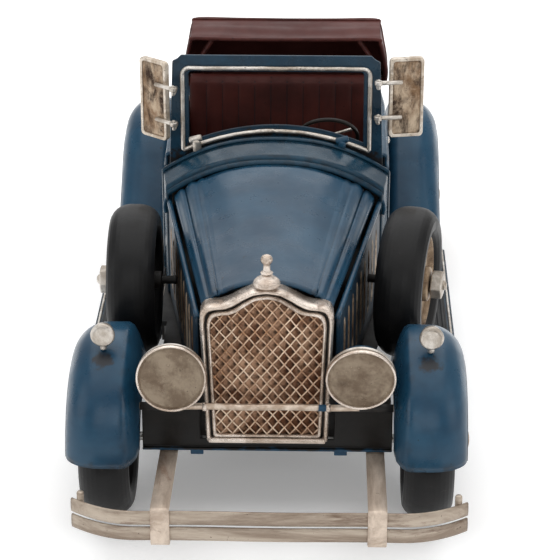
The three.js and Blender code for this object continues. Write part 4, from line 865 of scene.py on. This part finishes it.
# The cowl takes the darker copy of the blue, painted shade.
sheet("cowl_pressing", rows, SKIN, COWL_BLUE_SHADED, -1, node="cowl")
for name, x, material, lean in (("left", 24, BLUE, 1.6), ("right", -30, SILVER, -0.6)):
    y = COWL_REAR - 2
    bar(f"cowl_bracket_{name}", (x, y, 77.6), (x + lean, y - 0.6, 84.2), 1.7, material, slot="blue_enamel")
    bar(f"cowl_bracket_head_{name}", (x + lean - 2.6, y - 0.4, 83.6), (x + lean + 2.2, y - 0.4, 84.8), 1.35,
        material, slot="silver_trim")
for side, sign in SIDES:
    y = COWL_FRONT + 0.8
    hook = [(39.2, y, 70.4), (40.6, y, 69.2), (41.2, y - 0.4, 66.6), (40.8, y - 0.8, 64.4)]
    tube(f"cowl_band_hook_{side}", flipped(spline(hook, 6), sign), 0.75, BLUE, 10)


# ------------------------------------------------------------------ windscreen and wings
def rake():
    foot = Vector((0, SCREEN_Y, SCREEN_FOOT))
    return Matrix.Translation(foot) @ Matrix.Rotation(-SCREEN_RAKE, 4, "X") @ Matrix.Translation(-foot)


def window_outline(half, corner_foot, middle_foot, top, corner):
    shares = [k / 12 for k in range(13)]
    foot = [(s * half, corner_foot + (middle_foot - corner_foot) * (1 - s ** 2)) for s in shares]
    turn = arc(half - corner, top - corner, corner, 0, 90, 8)
    return both_halves([*foot, *turn, (0, top)])


def plate_ring(name, outer, inner, low, high, material, place, **more):
    """A flat frame between two outlines, one inside the other."""
    a, b = resampled(outer, 240), resampled(inner, 240)
    rings = [[place @ Vector((x, y, z)) for x, z in ring]
             for ring, y in ((a, low), (b, low), (b, high), (a, high))]
    return mesh(name, *swept(rings, True), material, bevel=0.3, **more)


frame_outer = both_halves([(0, SCREEN_FOOT), (41.2, SCREEN_FOOT), (39.6, SCREEN_TOP - 2.4),
                           (37.6, SCREEN_TOP - 1.4), (36.2, SCREEN_TOP), (0, SCREEN_TOP)])
opening = window_outline(33.6, 81.4, 88.6, 109.8, 1.6)
plate_ring("windscreen_plate", frame_outer, opening, SCREEN_Y, SCREEN_Y + SCREEN_THICK, SCREEN_BLUE, rake(),
           node="windscreen_frame")
bead = resampled(window_outline(35.8, 78.6, 86.4, 111.2, 2.6), 200)
rng = np.random.default_rng(7)
wobble = np.convolve(np.tile(rng.normal(0, 0.35, 200), 3), np.ones(7) / 7, "same")[200:400]
bead_line = [rake() @ Vector((x, SCREEN_Y - GAP - 0.6, z + w * 0.4)) for (x, z), w in zip(bead, wobble)]
tube("windscreen_wire", bead_line, [0.82 + 0.25 * abs(w) for w in wobble], SILVER, closed=True,
     node="windscreen_bead")
inner_edge = resampled(window_outline(33.9, 81.1, 88.3, 110.1, 1.6), 160)
lining = [rake() @ Vector((x, SCREEN_Y + 0.5, z)) for x, z in inner_edge]
tube("windscreen_lining", lining, 0.5, BLUE_SHADE, 8, closed=True)


def screen_place(z):
    return SCREEN_Y + SCREEN_THICK / 2 + (z - SCREEN_FOOT) * math.tan(SCREEN_RAKE)


def rounded_box(x0, x1, z0, z1, corner):
    made = []
    for x, z, start in ((x1, z0, -90), (x1, z1, 0), (x0, z1, 90), (x0, z0, 180)):
        centre_x = x - corner if x == x1 else x + corner
        centre_z = z - corner if z == z1 else z + corner
        made += arc(centre_x, centre_z, corner, start, start + 90, 6)
    return made


for side, sign in SIDES:
    lift = WING_LIFT[side]
    body = f"wind_wing_{side}"
    sweep = Matrix.Rotation(math.radians(WING_SWEEP[side]), 4, "Z")
    move = Matrix.Diagonal((sign, 1, 1, 1)) @ Matrix.Translation((PIVOT_X, PIVOT_Y, lift)) @ sweep
    near, far = 0.5, 2.9
    x0, x1, z0, z1 = 4.4, 17.6, 82.6, 114.2
    rim, hole = rounded_box(x0, x1, z0, z1, 1.6), rounded_box(x0 + 1.3, x1 - 1.3, z0 + 1.3, z1 - 1.3, 1.0)
    plate_ring(f"wind_wing_rim_{side}", rim, hole, near, far, WING, move, body=body, node=f"wind_wing_{side}")
    panel = [[move @ Vector((x, near + 0.35 + 0.16 * math.sin(z * 1.1 + j) * math.sin(j * 0.9), z))
              for j, x in enumerate(np.linspace(x0 + 1, x1 - 1, 15))]
             for z in np.linspace(z0 + 1.2, z1 - 1.2, 33)]
    sheet(f"wind_wing_plate_{side}", panel, 1.1, MOTTLED, sign, body=body)
    for number, height in enumerate(STALK_HEIGHTS):
        start, end = move @ Vector((1.2, 0, height)), move @ Vector((9.2, 0, height))
        bar(f"wind_wing_stalk_{side}_{number}", start, end, 0.85, SILVER, body=body)
        eye = [(0.75, -0.9), (1.3, -0.9), (1.5, -0.6), (1.5, 0.6), (1.3, 0.9), (0.75, 0.9)]
        lathe(f"wind_wing_eye_{side}_{number}", eye, move @ Vector((0, 0, height)), SILVER, axis="z",
              segments=28, soften=0.1, body=body)
        low_z = height + lift - 2.0
        tip = Vector((PIVOT_X * sign, PIVOT_Y, low_z))
        post = Vector(((PIVOT_X - 0.6) * sign, screen_place(low_z), low_z))
        bar(f"windscreen_stalk_{side}_{number}", post, tip, 0.85, SILVER)
        bar(f"windscreen_pin_{side}_{number}", tip, (PIVOT_X * sign, PIVOT_Y, height + lift + 1.5), 0.55,
            SILVER)


# ------------------------------------------------------------------ tub and cockpit
def belt_line(y):
    """The height of the tub's upper corners, which fall away at the tail."""
    return 75.6 - 20 * min(1, max(0, (y - 96) / 35)) ** 1.6


def tub_ring(y):
    half, belt = body_half(y), belt_line(y)
    low_z = SILL_Z
    right = [(half * 0.97, low_z), (half * 0.99, low_z + 9), (half, low_z + 18),
             (half * 0.997, (low_z + 15 + belt) / 2), (half * 0.985, belt - 3), (half * 0.95, belt),
             (half * 0.6, belt + 1.9)]
    left = [(-x, z) for x, z in reversed(right)]
    return [(x, y, z) for x, z in spline([*right, (0, belt + 2.4), *left], 5)]


def tail_ring(y, shrink):
    """A ring of the rounded tail, drawn in towards the middle of the tub's foot."""
    low_z = SILL_Z
    return [(x * shrink, y, low_z + (z - low_z) * shrink) for x, _, z in tub_ring(131)]


grid = [tub_ring(y) for y in np.linspace(16, 127.5, 46)]
grid += [tail_ring(y, k) for y, k in ((128.6, 1.0), (129.5, 0.992), (130.2, 0.977), (130.7, 0.955),
                                      (130.95, 0.925), (131.0, 0.88), (131.0, 0.75), (131.0, 0.5),
                                      (131.0, 0.25), (131.0, 0.03))]
tub = sheet("tub_pressing", grid, SKIN, BLUE, 1, node="body_tub")
cockpit = [(-39, 10), (39, 10), (39.6, 30), (39.6, 70), (38.6, 73.6), (36.2, 76.6), (34, 78), (-34, 78),
           (-36.2, 76.6), (-38.6, 73.6), (-39.6, 70), (-39.6, 30)]
carve(tub, extruded(*([(x, y, z) for x, y in cockpit] for z in (60, 95))))
for side, sign in SIDES:
    trim = [(39.9, y, 76.6) for y in np.linspace(17, 68, 20)]
    trim += [(39.4, 72, 76.7), (37.6, 75.6, 76.9), (35, 78.2, 77.0)]
    tube(f"cockpit_trim_{side}", flipped(trim, sign), 1.0, SILVER)
    for number, y in enumerate((24.5, 66.5)):
        bulge = ((0.985, 37), (0.997, 45), (1.0, 50), (1.0, 58), (0.995, 66), (0.985, 71.5))
        seam = [((body_half(y) + 0.05) * sign * f, y, z) for f, z in bulge]
        tube(f"door_seam_{side}_{number}", seam, 0.4, BLUE_SHADE, 8)
    handle = [(42.6, 58.5, 64.6), (44.2, 58.8, 64.8), (44.6, 60, 64.8), (44.6, 64, 64.5), (44.1, 65.4, 64.3)]
    tube(f"door_handle_{side}", flipped(spline(handle, 5), sign), 0.7, SILVER, 10)
    belt = [((body_half(y) + 0.35) * sign, y, 70.4 - max(0, (y - 90) * 0.25))
            for y in np.linspace(15, 112, 40)]
    tube(f"belt_rod_{side}", belt, 0.7, BLUE, 10)


def deck(x, y):
    """The height of the tub's upper face."""
    ring = [(u, w) for u, _, w in tub_ring(y) if w > 50]
    return float(np.interp(x, [u for u, _ in reversed(ring)], [w for _, w in reversed(ring)]))


corners = rounded([(22, 118.6), (22, 127.2), (-22, 127.2), (-22, 118.6)], 3, closed=True)
lid = [(x, y, deck(x, y) + 0.1) for x, y in resampled(corners, 120)]
tube("boot_lid_seam", lid, 0.4, BLUE_SHADE, 8, closed=True)
grip = ((-3.4, 0), (-3, 1.1), (-1.5, 1.4), (1.5, 1.4), (3, 1.1), (3.4, 0))
pull = [(x, 125.2, deck(x, 125.2) + lift) for x, lift in grip]
tube("boot_lid_handle", spline(pull, 5), 0.55, SILVER, 10)
shelf = [[(x, y, 75.4 - 0.08 * (y - 73) + 0.15 * math.sin(x * 0.3)) for x in np.linspace(-36, 36, 60)]
         for y in np.linspace(73.1, 79.4, 8)]
sheet("seat_shelf", shelf, 0.7, SEAT_RED, -1)

carried("dashboard", BLACK)
carried("steering_column", BLACK, 0.15)
for number, x in enumerate((8.5, -4)):
    dial = [(0, 0.2), (3.0, 0.2), (3.2, 0.8), (3.9, 0.9), (4.2, 0.4), (4.2, 0), (0, 0)]
    lathe(f"dashboard_dial_{number}", dial, (x, 18.1, 66), SILVER, axis="y", segments=40, soften=0.12)

path = spline([(37.5, 36), (37.5, 44), (37.6, 50), (39.6, 53.4), (44, 53.4), (50, 52.9), (54.2, 53.0),
               (56.4, 56), (59.6, 70), (62.9, 85.6), (64.2, 88.4), (66.6, 89.7), (69.6, 89.0), (71.6, 86.6),
               (72.3, 78), (72.5, 60), (72.5, 40.6)], 5)
rows = []
for k, ((y, z), (out_y, out_z)) in enumerate(zip(path, leftward(path))):
    puff = (1.0 if 12 < k < 55 else 0.25) * (1 if 20 < k < 50 else 0.6)
    row = []
    for x in np.linspace(-35.9, 35.9, 111):
        lift = (abs(math.sin(math.pi * (x + 36) / 72 * 11)) ** 0.6 - 0.85) * 0.9 * puff
        row.append((x, y + out_y * lift, z + out_z * lift))
    rows.append(row)
sheet("seat_pressing", rows, 0.7, SEAT_RED, -1, node="front_seat")

STEERING_HUB = Vector((20, 33, 77))
STEERING_RADIUS = 11.6
wheel_turn = Matrix.Rotation(math.radians(35 - 90), 4, "X")
lean = Matrix.Translation(STEERING_HUB) @ wheel_turn
rim = [lean @ Vector((x, y, 0)) for x, y in circle(STEERING_RADIUS, 64)]
tube("steering_rim", rim, 0.8, BLACK, closed=True, body="steering_wheel", node="steering_wheel")
for number in range(3):
    out = Matrix.Rotation(math.pi / 2 + number * 2 * math.pi / 3, 4, "Z") @ Vector((1, 0, 0))
    bar(f"steering_spoke_{number}", lean @ (out * 1.5 + Vector((0, 0, 0.2))),
        lean @ (out * (STEERING_RADIUS - 0.3)), 0.6, SILVER, body="steering_wheel")
boss = [(1.0, -1), (2.3, -0.8), (2.4, 0), (2.1, 0.8), (1.3, 1.2), (1.0, 1.2)]
lathe("steering_boss", boss, STEERING_HUB, SILVER, axis="z", turn=wheel_turn, segments=32, soften=0.2,
      body="steering_wheel")


# ------------------------------------------------------------------ folded top
FRAMES = ((73, 90, 104, 38.7, 41.2), (84, 94, 105.4, 38.7, 41.4), (95, 98, 105.4, 38.5, 41.2),
          (104, 102, 101, 37.4, 40.4), (110.5, 106, 92, 35.6, 38.8), (115, 109, 82, 33, 35.6))
TOP_SHIFT = 2.4
FOOT = 78.6
coarse = []
for roof, side_y, top, half, foot_half in FRAMES:
    tall = top - FOOT
    right = [(foot_half, side_y, FOOT), (foot_half + 0.4, side_y + (roof - side_y) * 0.3, FOOT + tall * 0.3),
             (half + 1.4, side_y + (roof - side_y) * 0.68, FOOT + tall * 0.68),
             (half, side_y + (roof - side_y) * 0.95, FOOT + tall * 0.92), (half - 2, roof, top),
             (half * 0.5, roof, top - 0.2)]
    hoop = [*right, (0, roof, top - 0.3), *flipped(reversed(right), -1)]
    coarse.append([(x + TOP_SHIFT, y, z) for x, y, z in hoop])
fine = refined(coarse, 8, 7)
rows = []
for i, row in enumerate(fine):
    made = []
    for j, (x, y, z) in enumerate(row):
        across = j / (len(row) - 1) - 0.5
        fold = 0.28 * math.sin(i * 1.15 + 0.7 * math.sin(j * 0.21)) * (1 - (2 * across) ** 4)
        sag = -0.55 * math.exp(-(across / 0.22) ** 2) * math.exp(-((i - 3) / 5) ** 2)
        made.append((x, y, min(z + fold * 0.6 + sag, 105.4)))
    rows.append(made)
sheet("folded_top_skin", rows, SKIN, BURGUNDY, -1, node="folded_top")
curtain = []
for share in (0, 0.2, 0.4, 0.6, 0.8, 1):
    line = []
    for x, y, z in rows[-1]:
        foot_y = y - 1.2 * share
        foot_z = belt_line(foot_y) + 2.4 * (1 - (x / body_half(foot_y)) ** 2) + 0.5
        line.append((x, foot_y + 0.5 * math.sin(math.pi * share), z + (foot_z - z) * share))
    curtain.append(line)
sheet("folded_top_skirt", curtain, 0.8, BURGUNDY, -1)
for name, column, way in (("left", 0, 1), ("right", -1, -1)):
    last_x, last_y, last_z = rows[-1][column]
    hanging = []
    for x, y, z in [*(row[column] for row in rows), (last_x, last_y + 1.6, last_z)]:
        ledge, low_z = body_half(y) * 0.955 * way, belt_line(y) + 0.5
        hanging.append([(x + (ledge - x) * k, y, z + (low_z - z) * k) for k in (0, 0.25, 0.5, 0.75, 1)])
    sheet(f"folded_top_valance_{name}", hanging, 0.7, BURGUNDY, way)
for number, (x, y) in enumerate(((39, 92), (-39, 92), (34.6, 107.5), (-34.6, 107.5))):
    lean = 1.4 * (1 if x > 0 else -1) + 0.9 * TOP_SHIFT
    foot_z = box("folded_top")[0].z + (0.1 if y < 100 else -0.2)
    bar(f"folded_top_foot_{number}", (x, y, foot_z), (x + lean, y, FOOT + 2.4), 1.3, BURGUNDY)
tube("folded_top_hem", rows[0], 0.75, BURGUNDY, 10)
for side, sign in SIDES:
    stay = [(x * sign + TOP_SHIFT, y, z) for x, y, z in ((29, 76, 103.6), (34.4, 84, 93.2), (39.6, 92, 82.4))]
    tube(f"folded_top_stay_{side}", stay, 1.0, BURGUNDY, 10)
for number, i in enumerate((14, 24)):
    hoop = [(x, y, z + 0.15) for x, y, z in rows[i][4:-4]]
    tube(f"folded_top_bow_{number}", hoop, 0.6, BURGUNDY, 10)


# ------------------------------------------------------------------ lamps
DENTS = [[float(v) for v in dent] for dent in zip(
    rng.uniform(-9.5, 9.5, 46), rng.uniform(-9.5, 9.5, 46), rng.uniform(-0.42, 0.3, 46),
    rng.uniform(0.8, 2.4, 46))]


def hammered(radius, angle):
    """How far the lamp's beaten face stands off its plane."""
    x, y = radius * math.cos(angle), radius * math.sin(angle)
    lift = sum(deep * math.exp(-((x - u) ** 2 + (y - v) ** 2) / wide ** 2) for u, v, deep, wide in DENTS)
    return lift * 0.8 * min(1, max(0, 10.2 - radius))


for side, sign in SIDES:
    place = Vector((LAMP_X * sign, LAMP_FRONT, LAMP_Z))
    tilt = Matrix.Rotation(math.radians(LAMP_TILT[side]), 4, "X")
    r = LAMP_RADIUS
    faced = {"axis": "y", "turn": tilt}
    can = [(0, 13.6), (1.9, 13.5), (3.6, 13.0), (5.6, 11.9), (7.2, 10.4), (8.7, 8.4), (9.8, 6.2), (10.5, 4.2),
           (10.8, 2.4), (0, 2.4)]
    lathe(f"headlamp_bucket_{side}", can, place, BLUE, segments=64, **faced, node=f"headlamp_can_{side}")
    foot = tilt @ Vector((0, 6.4, -r + 1.5))
    bar(f"headlamp_foot_{side}", place + foot, (place.x, BAR_Y, BAR_Z + BAR_RADIUS - 0.1), 1.3, BLUE)
    glass = [(0, 0.5)] + [(r - 1.6 - 0.4 * k, 0.5) for k in range(24, -1, -1)] + [
        (r - 1.2, 0.7), (r - 0.6, 0.8), (r - 0.15, 0.8), (r, 0.9), (r, 1.7), (r - 0.3, 2.2), (0, 2.2)]
    lathe(f"headlamp_face_{side}", glass, place, LENS, **faced, segments=96, soften=0.12, wave=hammered,
          node=f"headlamp_lens_{side}")
    hoop = [(r - 0.85, 0.9), (r - 0.8, 0.4), (r - 0.6, 0.1), (r - 0.35, 0.0), (r - 0.1, 0.2), (r, 0.7),
            (r, 1.1), (r - 0.5, 1.3)]
    lathe(f"headlamp_rim_{side}", hoop, place, SHELL, **faced, segments=96, soften=0.1)
    band = [(r - 0.5, 2.2), (r - 0.15, 2.4), (r - 0.1, 3.2), (r - 0.4, 3.6), (r - 1.2, 3.6), (r - 1.2, 2.2)]
    lathe(f"headlamp_band_{side}", band, place, SILVER, **faced, segments=72, soften=0.12)
    marker_y, marker_z = FRONT_ARCH_Y - 13, ARCH_Z + FRONT_ARCH_RADIUS + 4.6
    crest = ARCH_Z + math.sqrt(FRONT_ARCH_RADIUS ** 2 - (marker_y + 2 - FRONT_ARCH_Y) ** 2)
    marker = [(0, 0.25), (1.4, 0.3), (2.8, 0.25), (3.5, 0.0), (4.05, 0.3), (4.15, 0.9), (4.0, 1.6),
              (3.5, 3.4), (2.6, 4.9), (1.2, 5.8), (0, 6.0)]
    lathe(f"marker_lamp_body_{side}", marker, (TRACK_HALF * sign, marker_y, marker_z), SILVER, axis="y",
          segments=48, soften=0.15, node=f"marker_lamp_{side}")
    stem = ((TRACK_HALF * sign, marker_y + 2.4, z) for z in (crest + 0.4, marker_z - 2.4))
    bar(f"marker_lamp_stem_{side}", *stem, 1.2, SILVER)
    tail_low, tail_high = box(f"tail_lamp_{side}")
    tail_place = ((tail_low.x + tail_high.x) / 2, tail_high.y - 5.6, (tail_low.z + tail_high.z) / 2)
    tail = [(0, 5.6), (1.8, 5.5), (3.3, 5.2), (4.0, 4.5), (4.1, 3.6), (3.4, 1.4), (2.2, 0.3), (1.3, 0),
            (1.3, -1.5), (0, -1.6)]
    lathe(f"tail_lamp_body_{side}", tail, tail_place, SILVER, axis="y", segments=48, node=f"tail_lamp_{side}")

bar_half = box("headlamp_bar")[1].x


def bar_line(places):
    """The headlamp bar's middle line, which is not quite straight."""
    return [(x, BAR_Y, BAR_Z + 0.12 * math.sin(x * 0.23)) for x in places]


tube("headlamp_bar_rod", bar_line(np.linspace(-bar_half, bar_half, 60)), BAR_RADIUS, BAR, 16,
     node="headlamp_bar")
for side, sign in SIDES:
    ends = bar_line(sign * x for x in (31, 34, 38, bar_half - 0.2))
    tube(f"headlamp_bar_sleeve_{side}", ends, BAR_RADIUS + 0.25, BLACK, 16)
    clip = [(sign * x, BAR_Y - 0.1, BAR_Z) for x in (20.0, 20.7, 21.4)]
    tube(f"headlamp_bar_clip_{side}", clip, BAR_RADIUS + 0.35, SHELL, 16)


# ------------------------------------------------------------------ bumpers
def blade_line(steps=22):
    right = [(43 + 21.6 * i / steps, -BUMPER_Y + 8 * (i / steps) ** 2) for i in range(steps + 1)]
    middle = [(x, -BUMPER_Y) for x in np.linspace(-43, 43, 30)[1:-1]]
    return [(-x, y) for x, y in reversed(right)] + middle + right


def blade(name, bottom, sign, shift, node=None):
    """A bowed strap with rounded edges, swept along the blade's line."""
    half, thick = BLADE_HEIGHT / 2 - 0.1, 0.5
    section = [(-thick, -half + 0.3), (-thick + 0.25, -half), (thick - 0.25, -half), (thick, -half + 0.3),
               (thick, half - 0.3), (thick - 0.25, half), (-thick + 0.25, half), (-thick, half - 0.3),
               (-thick - 0.12, half * 0.4), (-thick - 0.12, -half * 0.4)]
    line = blade_line()
    rings = []
    for (x, y), (out_x, out_y) in zip(line, leftward(line)):
        middle = bottom + half + 0.1 + 0.12 * math.sin(x * 0.11 + bottom)
        rings.append([(x + out_x * u + shift, (y + out_y * u) * sign, middle + v) for u, v in section])
    return mesh(name, *swept(rings), BRUSHED, node=node)


upper = BLADE_BOTTOM + BLADE_HEIGHT + BLADE_GAP
blade("bumper_lower_strap", BLADE_BOTTOM, 1, BUMPER_SHIFT, "bumper_blade_lower")
blade("bumper_upper_strap", upper, 1, BUMPER_SHIFT, "bumper_blade_upper")
blade("rear_bumper_lower_strap", BLADE_BOTTOM, -1, 0, "rear_bumper")
blade("rear_bumper_upper_strap", upper, -1, 0)


def strap(name, line, middle, width, material, sign=1, **more):
    """A flat strap of a given width, bent in the YZ plane."""
    path = rounded(line, 1.2)
    section = ((-0.5, -1), (0, -1.06), (0.5, -1), (0.58, 0), (0.5, 1), (0, 1.06), (-0.5, 1), (-0.5, 0))
    rings = []
    for (y, z), (out_y, out_z) in zip(path, leftward(path)):
        rings.append([(middle + v * width / 2.12, (y + out_y * u) * sign, z + out_z * u) for u, v in section])
    return mesh(name, *swept(rings), material, **more)


top = BLADE_BOTTOM + 2 * BLADE_HEIGHT + BLADE_GAP + GAP + 0.5
outer_y = -BUMPER_Y - 1 - GAP
low_z = BLADE_BOTTOM - GAP - 0.5
iron = [(-97, 28.9), (-109.6, 28.9), (-113.6, 19.4), (-119.5, 19.4), (-BUMPER_Y + 3, top), (outer_y, top),
        (outer_y, low_z), (-BUMPER_Y + 2.5, low_z)]
for side, sign in SIDES:
    middle = 35.2 * sign
    # The front irons take the brighter silver, painted light.
    strap(f"bumper_strap_iron_{side}", iron, middle + BUMPER_SHIFT, 6.3, IRON_LIT, node=f"bumper_iron_{side}")
    strap(f"rear_bumper_iron_{side}", [(-100.4, 28.9), *iron[1:]], middle, 6.3, BRUSHED, -1)
    end_x, end_y = blade_line()[-4] if sign > 0 else blade_line()[3]
    for name, facing, shift in (("bumper", 1, BUMPER_SHIFT), ("rear_bumper", -1, 0)):
        x, y = end_x + shift, (end_y + 1.5) * facing
        bar(f"{name}_tab_{side}", (x, y, upper + 1), (x, y, upper + BLADE_HEIGHT + 2.6), 1.2, BRUSHED)


# ------------------------------------------------------------------ running boards, floor and motor
for side, sign in SIDES:
    x0, x1 = sorted((BOARD_LOW.x * sign, BOARD_HIGH.x * sign))
    y0, y1, z0, z1 = BOARD_LOW.y, BOARD_HIGH.y, BOARD_LOW.z, BOARD_HIGH.z
    prism(f"running_board_tray_{side}", [(x0, z0), (x1, z0), (x1, z1 - 0.6), (x0, z1 - 0.6)], y0, y1, "y",
          BLUE_SHADE, 0.5, node=f"running_board_{side}")
    inner, outer = BOARD_LOW.x + 2.2, BOARD_HIGH.x - 2.6
    section = []
    for k, x in enumerate(np.linspace(inner, outer, 12 * 6 + 1)):
        section.append((x * sign, z1 - 0.45 + 0.4 * max(0, math.sin(2 * math.pi * k / 6)) ** 0.5))
    mat_grid = [[(x, y, z) for x, z in section] for y in np.linspace(y0 + 1.2, y1 - 1.2, 30)]
    sheet(f"running_board_mat_{side}", mat_grid, 0.4, RUBBER, -sign)
    for number, x in enumerate((BOARD_LOW.x + 1.3, BOARD_HIGH.x - 1.3)):
        edge = [(x * sign, y, z1 - 0.55) for y in np.linspace(y0 + 0.4, y1 - 0.4, 24)]
        tube(f"running_board_edge_{side}_{number}", edge, 0.55, SILVER, 10)
    for number, y in enumerate((y0 + 0.8, y1 - 0.8)):
        edge = [(x * sign, y, z1 - 0.55) for x in np.linspace(BOARD_LOW.x + 1.3, BOARD_HIGH.x - 1.3, 8)]
        tube(f"running_board_end_{side}_{number}", edge, 0.5, SILVER, 10)

for node, material, bevel in (("front_apron", APRON, 0.25), ("floor_pan", BLACK, 0.2),
                              ("front_axle", STEEL, 0), ("rear_axle", STEEL, 0), ("motor_frame", STEEL, 0.15),
                              ("axle_gear", BRASS, 0.08), ("layshaft", BRASS, 0.08),
                              ("flywheel", STEEL, 0.15)):
    carried(node, material, bevel)


# ------------------------------------------------------------------ light, floor and camera
def softbox(name, place, target, size, power):
    data = bpy.data.lights.new(name, "AREA")
    data.shape = "RECTANGLE"
    data.size, data.size_y = size
    data.energy = power
    light = linked(name, data)
    light.location = place
    light.rotation_euler = (Vector(target) - Vector(place)).to_track_quat("-Z", "Y").to_euler()


softbox("top_light", (0, 0.2, 1.5), (0, 0, 0), (2.4, 2.4), 26)
softbox("back_light", (0, 1.9, 1.1), (0, 0, 0.1), (2.6, 1.2), 9)
softbox("left_light", (-1.3, -0.5, 0.6), (0, 0, 0.05), (0.8, 0.9), 3)
softbox("right_light", (1.3, -0.5, 0.6), (0, 0, 0.05), (0.8, 0.9), 3)
softbox("front_light", (0, -1.7, 0.9), (0, 0, 0.05), (1.4, 0.7), 5)

world = bpy.data.worlds.new("studio")
world.use_nodes = True
world.node_tree.nodes["Background"].inputs["Color"].default_value = (1, 1, 1, 1)
world.node_tree.nodes["Background"].inputs["Strength"].default_value = 0.45
bpy.context.scene.world = world
bpy.context.scene.view_settings.view_transform = "Standard"

pale = Paint("studio_floor")
tint = pale.mix(pale.ramp(pale.noise(6, 2), 0.3, 0.7), linear(246, 246, 246), linear(250, 250, 250))
floor_material = pale.finish(tint, 0.9, specular=0.1)
pale.shader.inputs["Emission Color"].default_value = (1, 1, 1, 1)
pale.shader.inputs["Emission Strength"].default_value = 0.18
data = bpy.data.meshes.new("studio_floor")
work = bmesh.new()
bmesh.ops.create_grid(work, x_segments=8, y_segments=8, size=6)
work.to_mesh(data)
work.free()
floor = linked("studio_floor", data)
data.materials.append(floor_material)

TILT, SWING = math.radians(25), math.radians(1.25)
across = Vector((math.cos(SWING), math.sin(SWING), 0))
forward = Vector((-math.sin(SWING) * math.cos(TILT), math.cos(SWING) * math.cos(TILT), -math.sin(TILT)))
upward = Vector((-math.sin(SWING) * math.sin(TILT), math.cos(SWING) * math.sin(TILT), math.cos(TILT)))
camera_data = bpy.data.cameras.new("camera")
camera_data.lens = 137
camera_data.sensor_width = 36
camera = linked("camera", camera_data)
camera.location = (across * 1.8 - forward * 842.4 + upward * 27 + Vector((0, 0, DATUM))) * MM
camera.rotation_mode = "QUATERNION"
camera.rotation_quaternion = forward.to_track_quat("-Z", "Y")
bpy.context.scene.camera = camera
